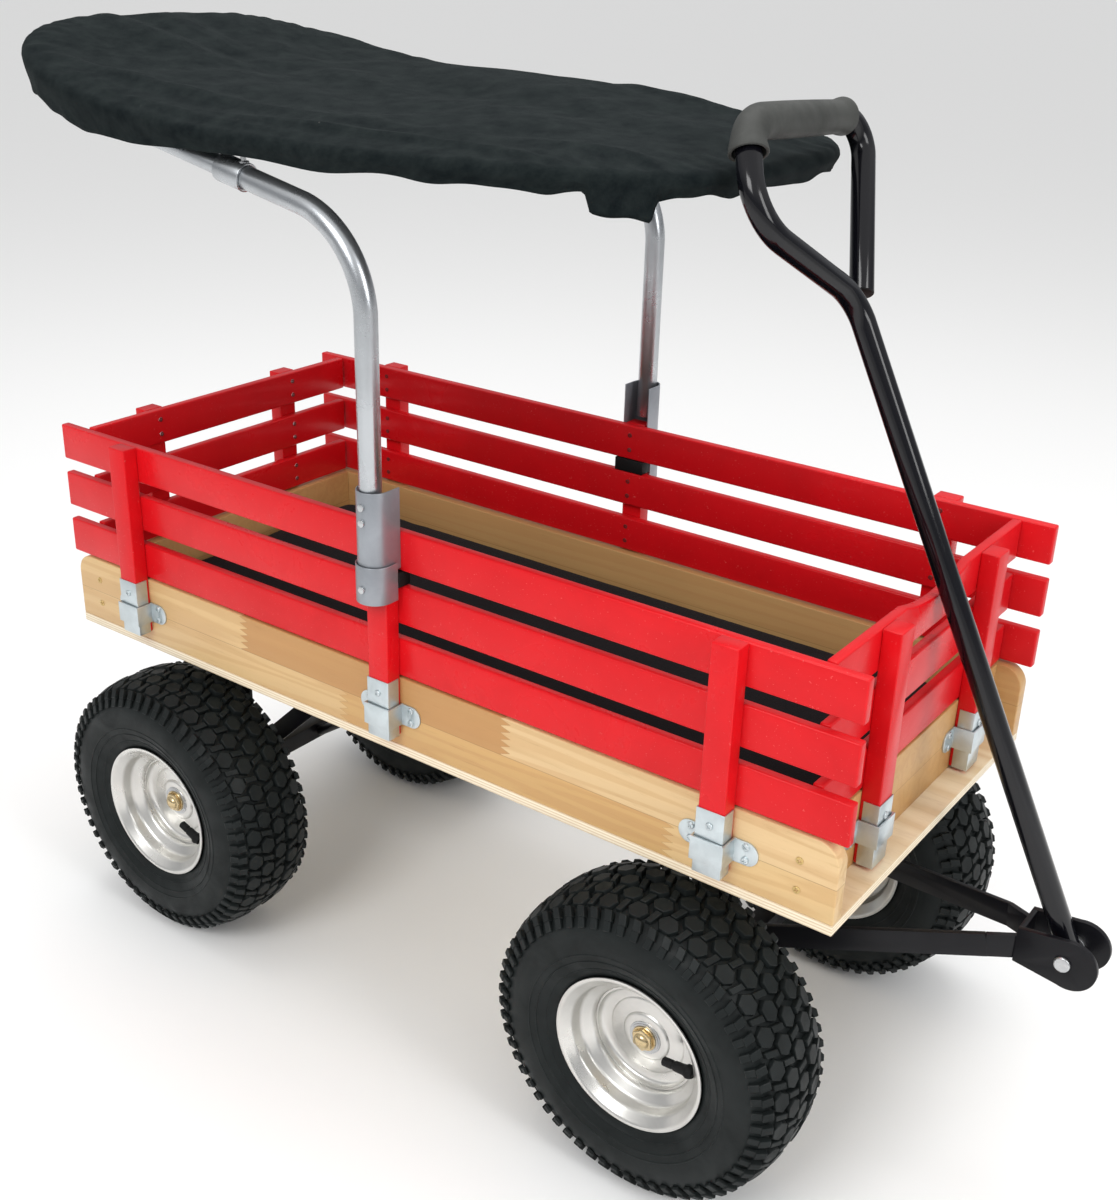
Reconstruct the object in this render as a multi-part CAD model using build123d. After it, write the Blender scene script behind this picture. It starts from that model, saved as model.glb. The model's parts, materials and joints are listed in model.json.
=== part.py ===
from build123d import *
import math
import os

os.makedirs("parts", exist_ok=True)

# Frame: +X towards the pull handle, +Y to the left, +Z up, floor at z = 0.
# Places are measured from the deck centre, then moved so that the origin is the bottom centre.

# deck and boards
deck_length = 1146
deck_width = 498
deck_bottom = 400
deck_thickness = 12
board_height = 89
board_thickness = 19
board_corner_radius = 25
end_board_face = 541
pad_thickness = 56
pad_margin = 8
pad_corner_radius = 35

# stake racks
stake_width = 30
stake_depth = 21
slat_thickness = 12
slat_height = 47
slat_gap = 19
slat_lift = 3
slat_overhang = 6
side_stake_spacing = 442
end_stake_spacing = 125
side_stake_bottom = 427
end_stake_bottom = 416
scoop_half_width = 80
scoop_depth = 12
rack_clearance = 3
rear_rack_clearance = 0.3

# zinc pockets and shoes
strap_thickness = 2
strap_height = 27
strap_bottom = 442
strap_half_width = 18
strap_ear_end = 46
shoe_thickness = 1.2
shoe_height = 75
shoe_flange = 17
screw_head_radius = 4.2
screw_head_height = 2
screw_shank_radius = 1.8
screw_length = 14

# running gear
tyre_diameter = 368
tyre_half_width = 68
wheel_offset = 244
rear_axle_x = -390
front_axle_x = 381
axle_diameter = 16
bearing_clearance = 0.05
axle_bar = 25
axle_bar_half_length = 200
flange_radius = 94
flange_offset = 57.5
rim_thickness = 2.5
bearing_radius = 17.5
hub_outboard = 20
hub_inboard = 40
rear_leg_offset = 140
front_leg_offset = 120
leg_width = 50
plate_thickness = 6
turntable_radius = 100
turntable_gap = 0.3
king_bolt_radius = 8

# tongue, yoke and handle
pin_x = 738
pin_z = 311
pin_radius = 6.35
pin_clearance = 0.05
cheek_outer = 25
cheek_thickness = 6
cheek_radius = 29
cheek_centre_x = 745
yoke_back = 687
tongue_height = 28
tongue_neck_x = 660
tongue_neck_y = 34
tube_radius = 12.7
tube_wall = 1.8
handle_lean = 26.7
grip_radius = 17

# canopy
canopy_rear = -655
canopy_front = 322
canopy_middle = -158
canopy_half_width = 306
canopy_corner_radius = 200
canopy_tube_offset = 274.5
canopy_bend_height = 1010.6
canopy_bend_radius = 112
canopy_slope = 11.6
hoop_radius = 9.5
cover_thickness = 3
cover_crown = 20
cover_drop = 14
bracket_radius = 19.5
bracket_thickness = 1.6
collar_radius = 22

# worked out
deck_top = deck_bottom + deck_thickness
board_top = deck_top + board_height
slat_bottoms = [board_top + slat_lift + i * (slat_height + slat_gap) for i in range(3)]
rack_top = slat_bottoms[2] + slat_height
half_width = deck_width / 2
slat_inner = half_width - slat_thickness
wheel_z = tyre_diameter / 2
axle_top = wheel_z + axle_bar / 2
origin_x = (cheek_centre_x + cheek_radius + canopy_rear) / 2
lean = math.radians(handle_lean)


def save(name, solids):
    """Write one named piece, moved to the common origin."""
    moved = [Pos(-origin_x, 0, 0) * solid for solid in solids]
    export_step(Compound(moved) if len(moved) > 1 else moved[0], f"parts/{name}.step")


def block(x0, x1, y0, y1, z0, z1):
    """A box given by its opposite faces."""
    centre = Pos((x0 + x1) / 2, (y0 + y1) / 2, (z0 + z1) / 2)
    return centre * Box(x1 - x0, y1 - y0, z1 - z0)


def rod_y(x, y0, y1, z, radius):
    """A round bar along Y."""
    return Pos(x, (y0 + y1) / 2, z) * Rot(90, 0, 0) * Cylinder(radius, y1 - y0)


def rod_z(x, y, z0, z1, radius):
    """A round bar along Z."""
    return Pos(x, y, (z0 + z1) / 2) * Cylinder(radius, z1 - z0)


def turned_round(shape):
    """The same piece on the opposite side, turned half a turn about Z."""
    return Rot(0, 0, 180) * shape


def swept_tube(points, radii, outer_radius, inner_radius=0):
    """A round tube along straight runs joined by tangent arcs."""
    path = FilletPolyline(*points, radius=radii)
    start = Plane(origin=path @ 0, z_dir=path % 0)
    section = start * Circle(outer_radius)
    if inner_radius > 0:
        section -= start * Circle(inner_radius)
    return sweep(section, path=path)


def spun(points):
    """A closed outline of (radius, along the axle) turned about the Y axis."""
    return revolve(make_face(Polyline(*points, close=True)), Axis.Y, 360)


# ---- deck, boards and floor pad ----

def side_board():
    """The near (right-hand) side board; the other is its half turn."""
    board = block(-deck_length / 2, deck_length / 2, -half_width, -half_width + board_thickness,
                  deck_top, board_top)
    top_ends = board.edges().filter_by(Axis.Y).group_by(Axis.Z)[-1]
    return fillet(top_ends, board_corner_radius)


def end_board():
    inner = half_width - board_thickness
    return block(end_board_face - board_thickness, end_board_face, -inner, inner, deck_top, board_top)


def floor_pad():
    half_length = end_board_face - board_thickness - pad_margin
    half_pad = half_width - board_thickness - pad_margin
    pad = block(-half_length, half_length, -half_pad, half_pad, deck_top, deck_top + pad_thickness)
    return fillet(pad.edges().filter_by(Axis.Z), pad_corner_radius)


# ---- pockets: local frame with the stake on X = 0 and the board face on Y = 0, facing -Y ----

screw_spots = [(side * 32, strap_bottom + strap_height / 2 + up) for side in (-1, 1) for up in (-8, 8)]


def pocket():
    """A hat-shaped strap with two rounded ears."""
    reach = stake_depth + shoe_thickness + 1.3 + strap_thickness
    outside = block(-strap_half_width - 1, strap_half_width + 1, -reach, 0,
                    strap_bottom, strap_bottom + strap_height)
    inside = block(-strap_half_width + 1, strap_half_width - 1, strap_thickness - reach, 1,
                   strap_bottom - 1, strap_bottom + strap_height + 1)
    strap = outside - inside
    for side in (-1, 1):
        near = side * (strap_half_width + 1)
        far = side * strap_ear_end
        ear = block(min(near, far), max(near, far), -strap_thickness, 0,
                    strap_bottom, strap_bottom + strap_height)
        tip = ear.edges().filter_by(Axis.Y).sort_by(Axis.X)
        ear = fillet(tip[-2:] if side > 0 else tip[:2], strap_height / 2 - 0.5)
        strap += ear
    for x, z in screw_spots:
        strap -= rod_y(x, -strap_thickness - 1, 1, z, screw_shank_radius)
    return strap


def pocket_screws():
    """Four pan-head wood screws of one pocket."""
    return [wood_screw(x, -strap_thickness, z) for x, z in screw_spots]


def wood_screw(x, y, z, length=screw_length):
    """A pan-head screw driven along +Y, its head resting on the plane y."""
    head = rod_y(x, y - screw_head_height, y, z, screw_head_radius)
    rim = head.edges().filter_by(GeomType.CIRCLE).sort_by(Axis.Y)[0]
    head = fillet(rim, screw_head_height * 0.6)
    return head + rod_y(x, y, y + length, z, screw_shank_radius)


def shoe(bottom):
    """A thin channel wrapped over the front of a stake's foot."""
    half = stake_width / 2
    outside = block(-half - shoe_thickness, half + shoe_thickness, -stake_depth - shoe_thickness,
                    -stake_depth + shoe_flange, bottom, bottom + shoe_height)
    stake_space = block(-half, half, -stake_depth, 0, bottom - 1, bottom + shoe_height + 1)
    return outside - stake_space


def side_place(x):
    """From the pocket's local frame to a stake on the right-hand side."""
    return Pos(x, -half_width, 0)


def end_place(y):
    """From the pocket's local frame to a stake on the front end."""
    return Pos(end_board_face, y, 0) * Rot(0, 0, 90)


side_spots = [side_place(x) for x in (-side_stake_spacing, 0, side_stake_spacing)]
end_spots = [end_place(y) for y in (-end_stake_spacing, end_stake_spacing)]


# ---- racks ----

def stake(bottom):
    half = stake_width / 2
    return block(-half, half, -stake_depth, 0, bottom, rack_top)


def side_slats():
    half_length = deck_length / 2 + slat_overhang
    return [block(-half_length, half_length, -half_width, -slat_inner, z, z + slat_height)
            for z in slat_bottoms]


def end_slats(with_scoop):
    half_length = slat_inner - rack_clearance
    slats = [block(end_board_face - slat_thickness, end_board_face, -half_length, half_length,
                   z, z + slat_height) for z in slat_bottoms]
    if with_scoop:
        scoop_radius = (scoop_half_width ** 2 + scoop_depth ** 2) / (2 * scoop_depth)
        scoop = Pos(end_board_face, 0, rack_top - scoop_depth + scoop_radius) * Rot(0, 90, 0)
        slats[2] -= scoop * Cylinder(scoop_radius, 4 * slat_thickness)
    return slats


def slat_screws(across):
    """Two countersunk screws at each crossing of a stake and a slat, local pocket frame."""
    screws = []
    for z in slat_bottoms:
        for share in (0.28, 0.72):
            height = z + share * slat_height
            head = rod_y(across, slat_thickness, slat_thickness + 0.6, height, 3.2)
            screws.append(head + rod_y(across, -12, slat_thickness, height, 1.6))
    return screws


shoe_screw_height = 58


def shoe_screw(bottom):
    return wood_screw(0, -stake_depth - shoe_thickness, bottom + shoe_screw_height)


def lifting_pieces(solids):
    """Front rack pieces turned to the rear, just clear of the end board."""
    return [Pos(-rear_rack_clearance, 0, 0) * turned_round(solid) for solid in solids]


# ---- wheels: local frame with the axle on Y and the outboard face towards -Y ----

def tyre():
    """A hollow turf tyre carcass seated between the rim flanges."""
    outside = [(80.5, 40), (80.5, 48.5), (87, 54.3), (96, 55.5), (110, 63), (126, 67.2), (138, 68),
               (152, 66.5), (168, 61), (179, 53), (184, 42)]
    inside = [(177, 40), (163, 53), (148, 59), (135, 61), (112, 56), (98, 48), (88, 46), (87, 40)]
    outline = outside + [(r, -y) for r, y in reversed(outside)]
    outline += [(r, -y) for r, y in reversed(inside)] + inside
    return spun(outline)


def rim():
    """A pressed steel rim: barrel with rolled flanges, dished disc and hub tube."""
    barrel = [(flange_radius, -flange_offset), (88, -flange_offset), (79, -50), (77, -37), (63, -27),
              (63, 27), (77, 37), (79, 50), (88, flange_offset), (flange_radius, flange_offset)]
    disc = [(63, -20), (56, -11), (34, -11), (29, -15), (19, -15)]
    barrel_solid = revolve(trace(Polyline(*barrel), rim_thickness), Axis.Y, 360)
    disc_solid = revolve(trace(Polyline(*disc), rim_thickness), Axis.Y, 360)
    hub = rod_y(0, -hub_outboard, hub_inboard, 0, bearing_radius + 3)
    hub -= rod_y(0, -hub_outboard, hub_inboard, 0, bearing_radius)
    return barrel_solid + disc_solid + hub


def hub_bearings():
    """Two flanged bearings pressed into the ends of the hub tube."""
    bore = axle_diameter / 2 + bearing_clearance
    outboard = [(bore, -hub_outboard - 2), (bearing_radius + 2.5, -hub_outboard - 2),
                (bearing_radius + 2.5, -hub_outboard), (bearing_radius, -hub_outboard),
                (bearing_radius, -hub_outboard + 11), (bore, -hub_outboard + 11)]
    inboard = [(r, hub_inboard - hub_outboard - y) for r, y in outboard]
    return [spun(outboard), spun(inboard)]


def valve_stem(angle):
    """A rubber stem with its cap, standing in on the barrel wall."""
    stem = Pos(50, -43, 0) * Rot(0, 90, 0) * Cylinder(4.5, 26)
    base = Pos(68.4, -43, 0) * Rot(0, 90, 0) * Cylinder(6.5, 13.6)
    return Rot(0, angle, 0) * (stem + base)


def wheel(name, x, side, valve_angle):
    """Write one wheel's four pieces; side is -1 on the right and 1 on the left."""
    place = Pos(x, side * wheel_offset, wheel_z)
    if side > 0:
        place = place * Rot(0, 0, 180)
    pieces = {"tyre": [tyre()], "rim": [rim()], "hub_bearings": hub_bearings(),
              "valve_stem": [valve_stem(valve_angle)]}
    for piece, solids in pieces.items():
        save(f"{name}_{piece}", [place * solid for solid in solids])


# ---- axles and bolsters ----

def axle(x):
    """A square bar with a round spindle at each end."""
    spindle_end = wheel_offset + hub_outboard + 11
    bar = block(x - axle_bar / 2, x + axle_bar / 2, -axle_bar_half_length, axle_bar_half_length,
                wheel_z - axle_bar / 2, axle_top)
    return bar + rod_y(x, -spindle_end, spindle_end, wheel_z, axle_diameter / 2)


def axle_nuts(x):
    """A washer and a hexagon nut with a domed end at each spindle."""
    face = wheel_offset + hub_outboard + 2.1
    nut = Pos(x, -face - 6.5, wheel_z) * Rot(90, 0, 0) * extrude(RegularPolygon(13.5, 6), 9)
    washer = rod_y(x, -face - 2, -face, wheel_z, 15)
    nut = Pos(0, 4.5, 0) * nut
    bore = rod_y(x, -face - 20, -face + 1, wheel_z, axle_diameter / 2)
    return [washer + nut - bore]


def bolster(x, top, leg_offset):
    """A bent steel bridge from the axle bar up to the plate at the given height."""
    half_plate = leg_offset + plate_thickness / 2
    bridge = block(x - leg_width / 2, x + leg_width / 2, -half_plate, half_plate,
                   top - plate_thickness, top)
    for side in (-1, 1):
        middle = side * leg_offset
        bridge += block(x - leg_width / 2, x + leg_width / 2, middle - plate_thickness / 2,
                        middle + plate_thickness / 2, axle_top, top)
    return bridge


def bar_between(start, end, width, thickness):
    """A flat bar on edge from one point to another, its flat sides upright."""
    run = Vector(*end) - Vector(*start)
    across = Vector(-run.Y, run.X, 0).normalized() if abs(run.Y) > 0 else Vector(0, 1, 0)
    plane = Plane(origin=start, x_dir=across, z_dir=run.normalized())
    return plane * extrude(Rectangle(thickness, width), run.length)


def rear_braces():
    """Two flat braces and one round strut from the rear axle up to the deck."""
    below_deck = block(-deck_length, deck_length, -deck_width, deck_width, 0, deck_bottom - 0.1)
    pieces = []
    inner = rear_leg_offset - plate_thickness / 2 - 2.6
    for y in (-inner, inner):
        pieces.append(bar_between((rear_axle_x + 24, y, 216), (-170, y, 404), 25, 5) & below_deck)
    strut_start = (rear_axle_x + 16, 0, wheel_z)
    strut_plane = Plane(origin=strut_start, z_dir=Vector(314, 0, 214))
    pieces.append((strut_plane * extrude(Circle(7), 390)) & below_deck)
    return pieces


lower_plate_top = deck_bottom - plate_thickness - turntable_gap
front_bolster_top = lower_plate_top - plate_thickness


def turntable_plate(top):
    return rod_z(front_axle_x, 0, top - plate_thickness, top, turntable_radius)


def king_bolt():
    """The bolt welded in the upper plate, with its nut under the bolster."""
    nut_top = front_bolster_top - plate_thickness - 0.3
    bolt = rod_z(front_axle_x, 0, nut_top - 16, deck_bottom, king_bolt_radius)
    nut = Pos(front_axle_x, 0, nut_top - 13) * extrude(RegularPolygon(14, 6), 13)
    return bolt + nut


def king_bore(shape):
    """The piece with a running hole for the king bolt."""
    return shape - rod_z(front_axle_x, 0, 0, deck_bottom, king_bolt_radius + 0.05)


# ---- tongue, yoke and handle ----

def tongue_bars():
    """Two flat bars that run together from the bolster legs to the yoke."""
    bars = []
    for side in (-1, 1):
        start = (front_axle_x + leg_width / 2 - 3, side * front_leg_offset, 248)
        neck = (tongue_neck_x, side * tongue_neck_y, 305)
        nose = (yoke_back + 2, side * 19, 308)
        long_run = bar_between(start, neck, tongue_height, plate_thickness)
        joint = rod_z(neck[0], neck[1], neck[2] - tongue_height / 2, neck[2] + tongue_height / 2,
                      plate_thickness / 2)
        bars.append(long_run + joint + bar_between(neck, nose, tongue_height, plate_thickness))
    return bars


def yoke():
    """Two cheeks with rounded fronts, joined by a web at the back."""
    upright = Plane.XZ
    outline = Pos(cheek_centre_x, pin_z) * Circle(cheek_radius)
    arm = make_face(Polyline((yoke_back, pin_z - 20), (cheek_centre_x, pin_z - cheek_radius),
                             (cheek_centre_x, pin_z + cheek_radius), (yoke_back, pin_z + 22),
                             close=True))
    cheek = extrude(upright * (outline + arm), cheek_thickness)
    right = Pos(0, -cheek_outer + cheek_thickness, 0) * cheek
    left = Pos(0, cheek_outer, 0) * cheek
    web = block(yoke_back, yoke_back + cheek_thickness, -cheek_outer, cheek_outer,
                pin_z - 20, pin_z + 22)
    hole = rod_y(pin_x, -cheek_outer - 1, cheek_outer + 1, pin_z, pin_radius)
    return right + left + web - hole


def handle_pivot_bolt():
    """The pin through the cheeks, with a button head, a nut and two spacer collars."""
    pin = rod_y(pin_x, -cheek_outer, cheek_outer + 11, pin_z, pin_radius)
    head = rod_y(pin_x, -cheek_outer - 3.5, -cheek_outer, pin_z, 9)
    head = fillet(head.edges().filter_by(GeomType.CIRCLE).sort_by(Axis.Y)[0], 2)
    nut = Pos(pin_x, cheek_outer + 9, pin_z) * Rot(90, 0, 0) * extrude(RegularPolygon(11, 6), 9)
    gap_end = cheek_outer - cheek_thickness
    spacer = rod_y(pin_x, -gap_end, -tube_radius - 0.3, pin_z, 11)
    return pin + head + nut + spacer + mirror(spacer, Plane.XZ)


def on_handle(along, across, forward=0):
    """A point of the handle: distance up the shaft, to the left, and out towards the front."""
    x = pin_x - along * math.sin(lean) + forward * math.cos(lean)
    z = pin_z + along * math.cos(lean) + forward * math.sin(lean)
    return (x, across, z)


def handle_tube():
    """The shaft with its open loop, and the hole for the pin."""
    points = [on_handle(-16, 0), on_handle(726, 0), on_handle(826, -143), on_handle(915, -97),
              on_handle(903, 146), on_handle(728, 39, -12)]
    tube = swept_tube(points, [60, 55, 45, 30], tube_radius, tube_radius - tube_wall)
    return tube - rod_y(pin_x, -40, 40, pin_z, pin_radius + pin_clearance)


def handle_grip():
    """A soft sleeve over the top of the loop and the bend beside it."""
    points = [on_handle(888, -111), on_handle(915, -97), on_handle(905.5, 95.5)]
    return swept_tube(points, [45], grip_radius, tube_radius + 0.15)


# ---- canopy ----

def canopy_rise(x):
    """Height of the hoop's centre line, a flat curve that climbs towards the rear."""
    reach = x - canopy_middle
    share = reach / 494
    return 1083 - 0.036 * reach + 38 * share ** 2 - 31.3 * share ** 3


hoop_stations = [canopy_rear + 3, -520, -400, -260, -90, 90, canopy_front - 3]
hoop_line = [(x, canopy_rise(x)) for x in hoop_stations]


def hoop_height(x):
    """Height of the hoop's centre line at a place along the wagon."""
    for (x0, z0), (x1, z1) in zip(hoop_line, hoop_line[1:]):
        if x <= x1 or (x1, z1) == hoop_line[-1]:
            return z0 + (z1 - z0) * (x - x0) / (x1 - x0)


def canopy_hoop():
    """The long oval ring of tube that the cover is stretched over, in two halves."""
    inset = hoop_radius + cover_thickness + 0.8
    rear, front = canopy_rear + inset, canopy_front - inset
    y = canopy_half_width - inset
    bend = canopy_corner_radius - inset
    sides = [(x, y, hoop_height(x)) for x in hoop_stations[2:-2]]
    points = [(rear, 0, hoop_height(rear)), (rear, y, hoop_height(rear))] + sides
    points += [(front, y, hoop_height(front)), (front, 0, hoop_height(front))]
    bends = [bend] + [30] * len(sides) + [bend]
    half = swept_tube(points, bends, hoop_radius, hoop_radius - 1.5)
    return half + mirror(half, Plane.XZ)


def canopy_slab(low, high):
    """The space between two offsets from the hoop's line, as wide as the wagon."""
    reach = [(canopy_rear - 5, hoop_height(canopy_rear))] + hoop_line[2:-2]
    reach += [(canopy_front + 5, hoop_height(canopy_front))]
    outline = [(x, z + low) for x, z in reach] + [(x, z + high) for x, z in reversed(reach)]
    face = Plane.XZ * make_face(Polyline(*outline, close=True))
    return Pos(0, 2 * canopy_half_width, 0) * extrude(face, 4 * canopy_half_width)


def canopy_prism(inset):
    length = canopy_front - canopy_rear - 2 * inset
    outline = RectangleRounded(length, 2 * (canopy_half_width - inset), canopy_corner_radius - inset)
    return Pos((canopy_front + canopy_rear) / 2, 0, 900) * extrude(outline, 400)


def canopy_cover():
    """The cloth cover: a shallow lid over the hoop, open underneath."""
    lid = canopy_prism(0) & canopy_slab(-cover_drop, cover_crown)
    return lid - (canopy_prism(cover_thickness) & canopy_slab(-30, cover_crown - cover_thickness))


slope = math.radians(canopy_slope)


def along_slope(x):
    """A point on the sloping part of a canopy tube."""
    return (x, -canopy_tube_offset, canopy_bend_height - x * math.tan(slope))


def mirrored_pair(shape):
    return [shape, mirror(shape, Plane.XZ)]


def canopy_tube():
    foot = (0, -canopy_tube_offset, rack_top + 7)
    points = [foot, along_slope(0), along_slope(-203)]
    return swept_tube(points, [canopy_bend_radius], tube_radius, 11)


def canopy_strut():
    """The thinner tube that slides in the bent tube and runs on under the cover."""
    start = Plane(origin=along_slope(-150), z_dir=Vector(-1, 0, math.tan(slope)))
    ring = Circle(11 - 0.05) - Circle(9)
    return start * extrude(ring, 285)


def tube_sleeve():
    start = Plane(origin=along_slope(-166), z_dir=Vector(-1, 0, math.tan(slope)))
    ring = Circle(15.5) - Circle(tube_radius + 0.05)
    return start * extrude(ring, 38)


def canopy_hangers():
    """Short straps that tie the sleeve and the strut to the hoop's side rail."""
    y1 = -canopy_half_width + 20
    front = block(-194, -178, y1 - 5, y1, along_slope(-186)[2] + 8, hoop_height(-186) - 3)
    rear = block(-422, -406, y1 - 5, y1, along_slope(-414)[2] - 2, hoop_height(-414) - 1)
    return [front, rear]


def channel(radius, thickness, back, z0, z1):
    """A channel with a round nose, open towards the rack."""
    centre = -half_width - stake_depth
    outside = Pos(0, centre) * Circle(radius)
    outside += Pos(0, (centre + back) / 2) * Rectangle(2 * radius, back - centre)
    outside -= Pos(0, back + radius) * Rectangle(4 * radius, 2 * radius)
    inner = radius - thickness
    inside = Pos(0, centre) * Circle(inner)
    inside += Pos(0, (centre + back) / 2 + 1) * Rectangle(2 * inner, back - centre + 2)
    return Pos(0, 0, z0) * extrude(outside - inside, z1 - z0)


def canopy_bracket():
    return channel(bracket_radius, bracket_thickness, -half_width - 0.3, slat_bottoms[2] + 4,
                   rack_top + 52)


def bracket_collar():
    return channel(collar_radius, bracket_thickness, -half_width - 8, slat_bottoms[1] + 34,
                   slat_bottoms[2] + 13)


def rack_clips():
    """Zinc plates that lie on the top slat beside the bracket."""
    plates = []
    for side in (-1, 1):
        x0, x1 = sorted((side * (bracket_radius + 0.3), side * (bracket_radius + 11)))
        plates.append(block(x0, x1, -half_width - 2, -half_width, slat_bottoms[2] + 2, rack_top - 2))
    return plates


def clamp_pad():
    """A rubber block around the stake in the gap under the top slat."""
    z0 = slat_bottoms[1] + slat_height + 0.5
    z1 = slat_bottoms[2] - 0.5
    pad = block(-22, 22, -half_width - 7, -slat_inner + 1, z0, z1)
    half = stake_width / 2 + 0.1
    return pad - block(-half, half, -half_width - 10, -half_width + 0.2, z0 - 1, z1 + 1)


def nose_bolt(nose_radius, z):
    """A button-headed bolt through the nose of a bracket."""
    nose = -half_width - stake_depth - nose_radius
    return rod_y(0, nose - 2.4, nose, z, 4.2) + rod_y(0, nose, nose + 5, z, 2.2)


def bracket_bolts():
    """Two bolts through the bracket into the tube, and one through the collar."""
    bolts = [nose_bolt(bracket_radius, rack_top + up) for up in (17, 35)]
    return bolts + [nose_bolt(collar_radius, slat_bottoms[1] + 52)]


# ---- write the chassis ----

deck = block(-deck_length / 2, deck_length / 2, -half_width, half_width, deck_bottom, deck_top)
save("deck", [deck])
save("side_board_right", [side_board()])
save("side_board_left", [turned_round(side_board())])
save("end_board_front", [end_board()])
save("end_board_rear", [turned_round(end_board())])
save("floor_pad", [floor_pad()])

all_spots = side_spots + end_spots
pockets = [spot * pocket() for spot in all_spots]
save("stake_pockets", pockets + [turned_round(p) for p in pockets])
screws = [spot * screw for spot in all_spots for screw in pocket_screws()]
for end_side in (-1, 1):
    for height in (437, 471):
        screws.append(Pos(end_side * (end_board_face - board_thickness / 2), -half_width, height)
                      * wood_screw(0, 0, 0, 40))
save("wood_screws", screws + [turned_round(s) for s in screws])

save("rear_bolster", [bolster(rear_axle_x, deck_bottom, rear_leg_offset)])
save("rear_axle", [axle(rear_axle_x)])
rear_nuts = axle_nuts(rear_axle_x)
save("rear_axle_nuts", rear_nuts + [mirror(n, Plane.XZ) for n in rear_nuts])
save("rear_braces", rear_braces())
save("turntable_plate_upper",
     [turntable_plate(deck_bottom) - rod_z(front_axle_x, 0, 0, deck_bottom, king_bolt_radius)])
save("king_bolt", [king_bolt()])

# racks that stay in their pockets
right_stakes = [spot * stake(side_stake_bottom) for spot in side_spots]
right_slats = side_slats()
save("right_rack_stakes", right_stakes)
save("right_rack_slats", right_slats)
save("left_rack_stakes", [turned_round(s) for s in right_stakes])
save("left_rack_slats", [turned_round(s) for s in right_slats])
end_stakes = [spot * stake(end_stake_bottom) for spot in end_spots]
save("front_rack_stakes", end_stakes)
save("front_rack_slats", end_slats(True))
side_shoes = [spot * shoe(side_stake_bottom) for spot in side_spots]
end_shoes = [spot * shoe(end_stake_bottom) for spot in end_spots]
save("rack_shoes", side_shoes + [turned_round(s) for s in side_shoes] + end_shoes)
side_screws = [spot * s for spot in side_spots for s in slat_screws(0)]
side_screws += [spot * shoe_screw(side_stake_bottom) for spot in side_spots]
end_screws = [spot * s for spot in end_spots for s in slat_screws(0)]
end_screws += [spot * shoe_screw(end_stake_bottom) for spot in end_spots]
save("rack_screws", side_screws + [turned_round(s) for s in side_screws] + end_screws)

# rear rack, which lifts out
save("rear_rack_stakes", lifting_pieces(end_stakes))
save("rear_rack_slats", lifting_pieces(end_slats(False)))
save("rear_rack_fittings", lifting_pieces(end_shoes + end_screws))

# canopy
save("canopy_cover", [canopy_cover()])
save("canopy_hoop", [canopy_hoop()])
save("canopy_tubes", mirrored_pair(canopy_tube()))
save("canopy_struts", mirrored_pair(canopy_strut()))
save("tube_sleeves", mirrored_pair(tube_sleeve()))
save("canopy_brackets", mirrored_pair(canopy_bracket()))
save("bracket_collars", mirrored_pair(bracket_collar()))
clips = rack_clips() + canopy_hangers()
save("canopy_clips", clips + [mirror(c, Plane.XZ) for c in clips])
save("clamp_pads", mirrored_pair(clamp_pad()))
bolts = bracket_bolts()
save("bracket_bolts", bolts + [mirror(b, Plane.XZ) for b in bolts])

# ---- write the steering gear ----

save("turntable_plate_lower", [king_bore(turntable_plate(lower_plate_top))])
save("front_bolster", [king_bore(bolster(front_axle_x, front_bolster_top, front_leg_offset))])
save("front_axle", [axle(front_axle_x)])
front_nuts = axle_nuts(front_axle_x)
save("front_axle_nuts", front_nuts + [mirror(n, Plane.XZ) for n in front_nuts])
save("tongue_bars", tongue_bars())
save("yoke", [yoke()])
save("handle_pivot_bolt", [handle_pivot_bolt()])

# ---- write the handle and the wheels ----

save("handle_tube", [handle_tube()])
save("handle_grip", [handle_grip()])
wheel("front_right", front_axle_x, -1, -5)
wheel("front_left", front_axle_x, 1, -5)
wheel("rear_right", rear_axle_x, -1, 20)
wheel("rear_left", rear_axle_x, 1, 20)
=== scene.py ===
import json
import math
import random

import bpy
from mathutils import Matrix, Vector

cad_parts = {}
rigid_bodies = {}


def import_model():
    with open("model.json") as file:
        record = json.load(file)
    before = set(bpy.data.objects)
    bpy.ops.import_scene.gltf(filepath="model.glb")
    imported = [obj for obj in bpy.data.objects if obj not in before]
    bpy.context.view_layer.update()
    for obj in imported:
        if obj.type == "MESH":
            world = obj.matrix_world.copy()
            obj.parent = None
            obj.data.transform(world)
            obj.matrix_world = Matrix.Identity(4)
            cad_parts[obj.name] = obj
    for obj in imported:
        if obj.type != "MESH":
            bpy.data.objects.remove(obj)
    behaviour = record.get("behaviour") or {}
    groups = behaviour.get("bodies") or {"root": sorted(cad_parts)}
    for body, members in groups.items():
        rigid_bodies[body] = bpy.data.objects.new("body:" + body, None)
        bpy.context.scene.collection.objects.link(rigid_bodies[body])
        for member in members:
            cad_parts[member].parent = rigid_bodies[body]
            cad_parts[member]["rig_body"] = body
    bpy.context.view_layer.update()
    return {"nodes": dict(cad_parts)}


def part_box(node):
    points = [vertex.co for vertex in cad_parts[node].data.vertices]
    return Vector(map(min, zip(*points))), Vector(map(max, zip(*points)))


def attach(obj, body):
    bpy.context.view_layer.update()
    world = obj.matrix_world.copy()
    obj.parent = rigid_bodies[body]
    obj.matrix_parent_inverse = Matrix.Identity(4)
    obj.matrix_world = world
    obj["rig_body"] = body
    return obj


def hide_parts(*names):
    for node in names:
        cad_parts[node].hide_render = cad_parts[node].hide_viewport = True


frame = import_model()
nodes = frame["nodes"]
print("frame loaded", len(nodes), "nodes")

wagonShift = 0.0595  # the deck's centre lies this far behind the origin


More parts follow.
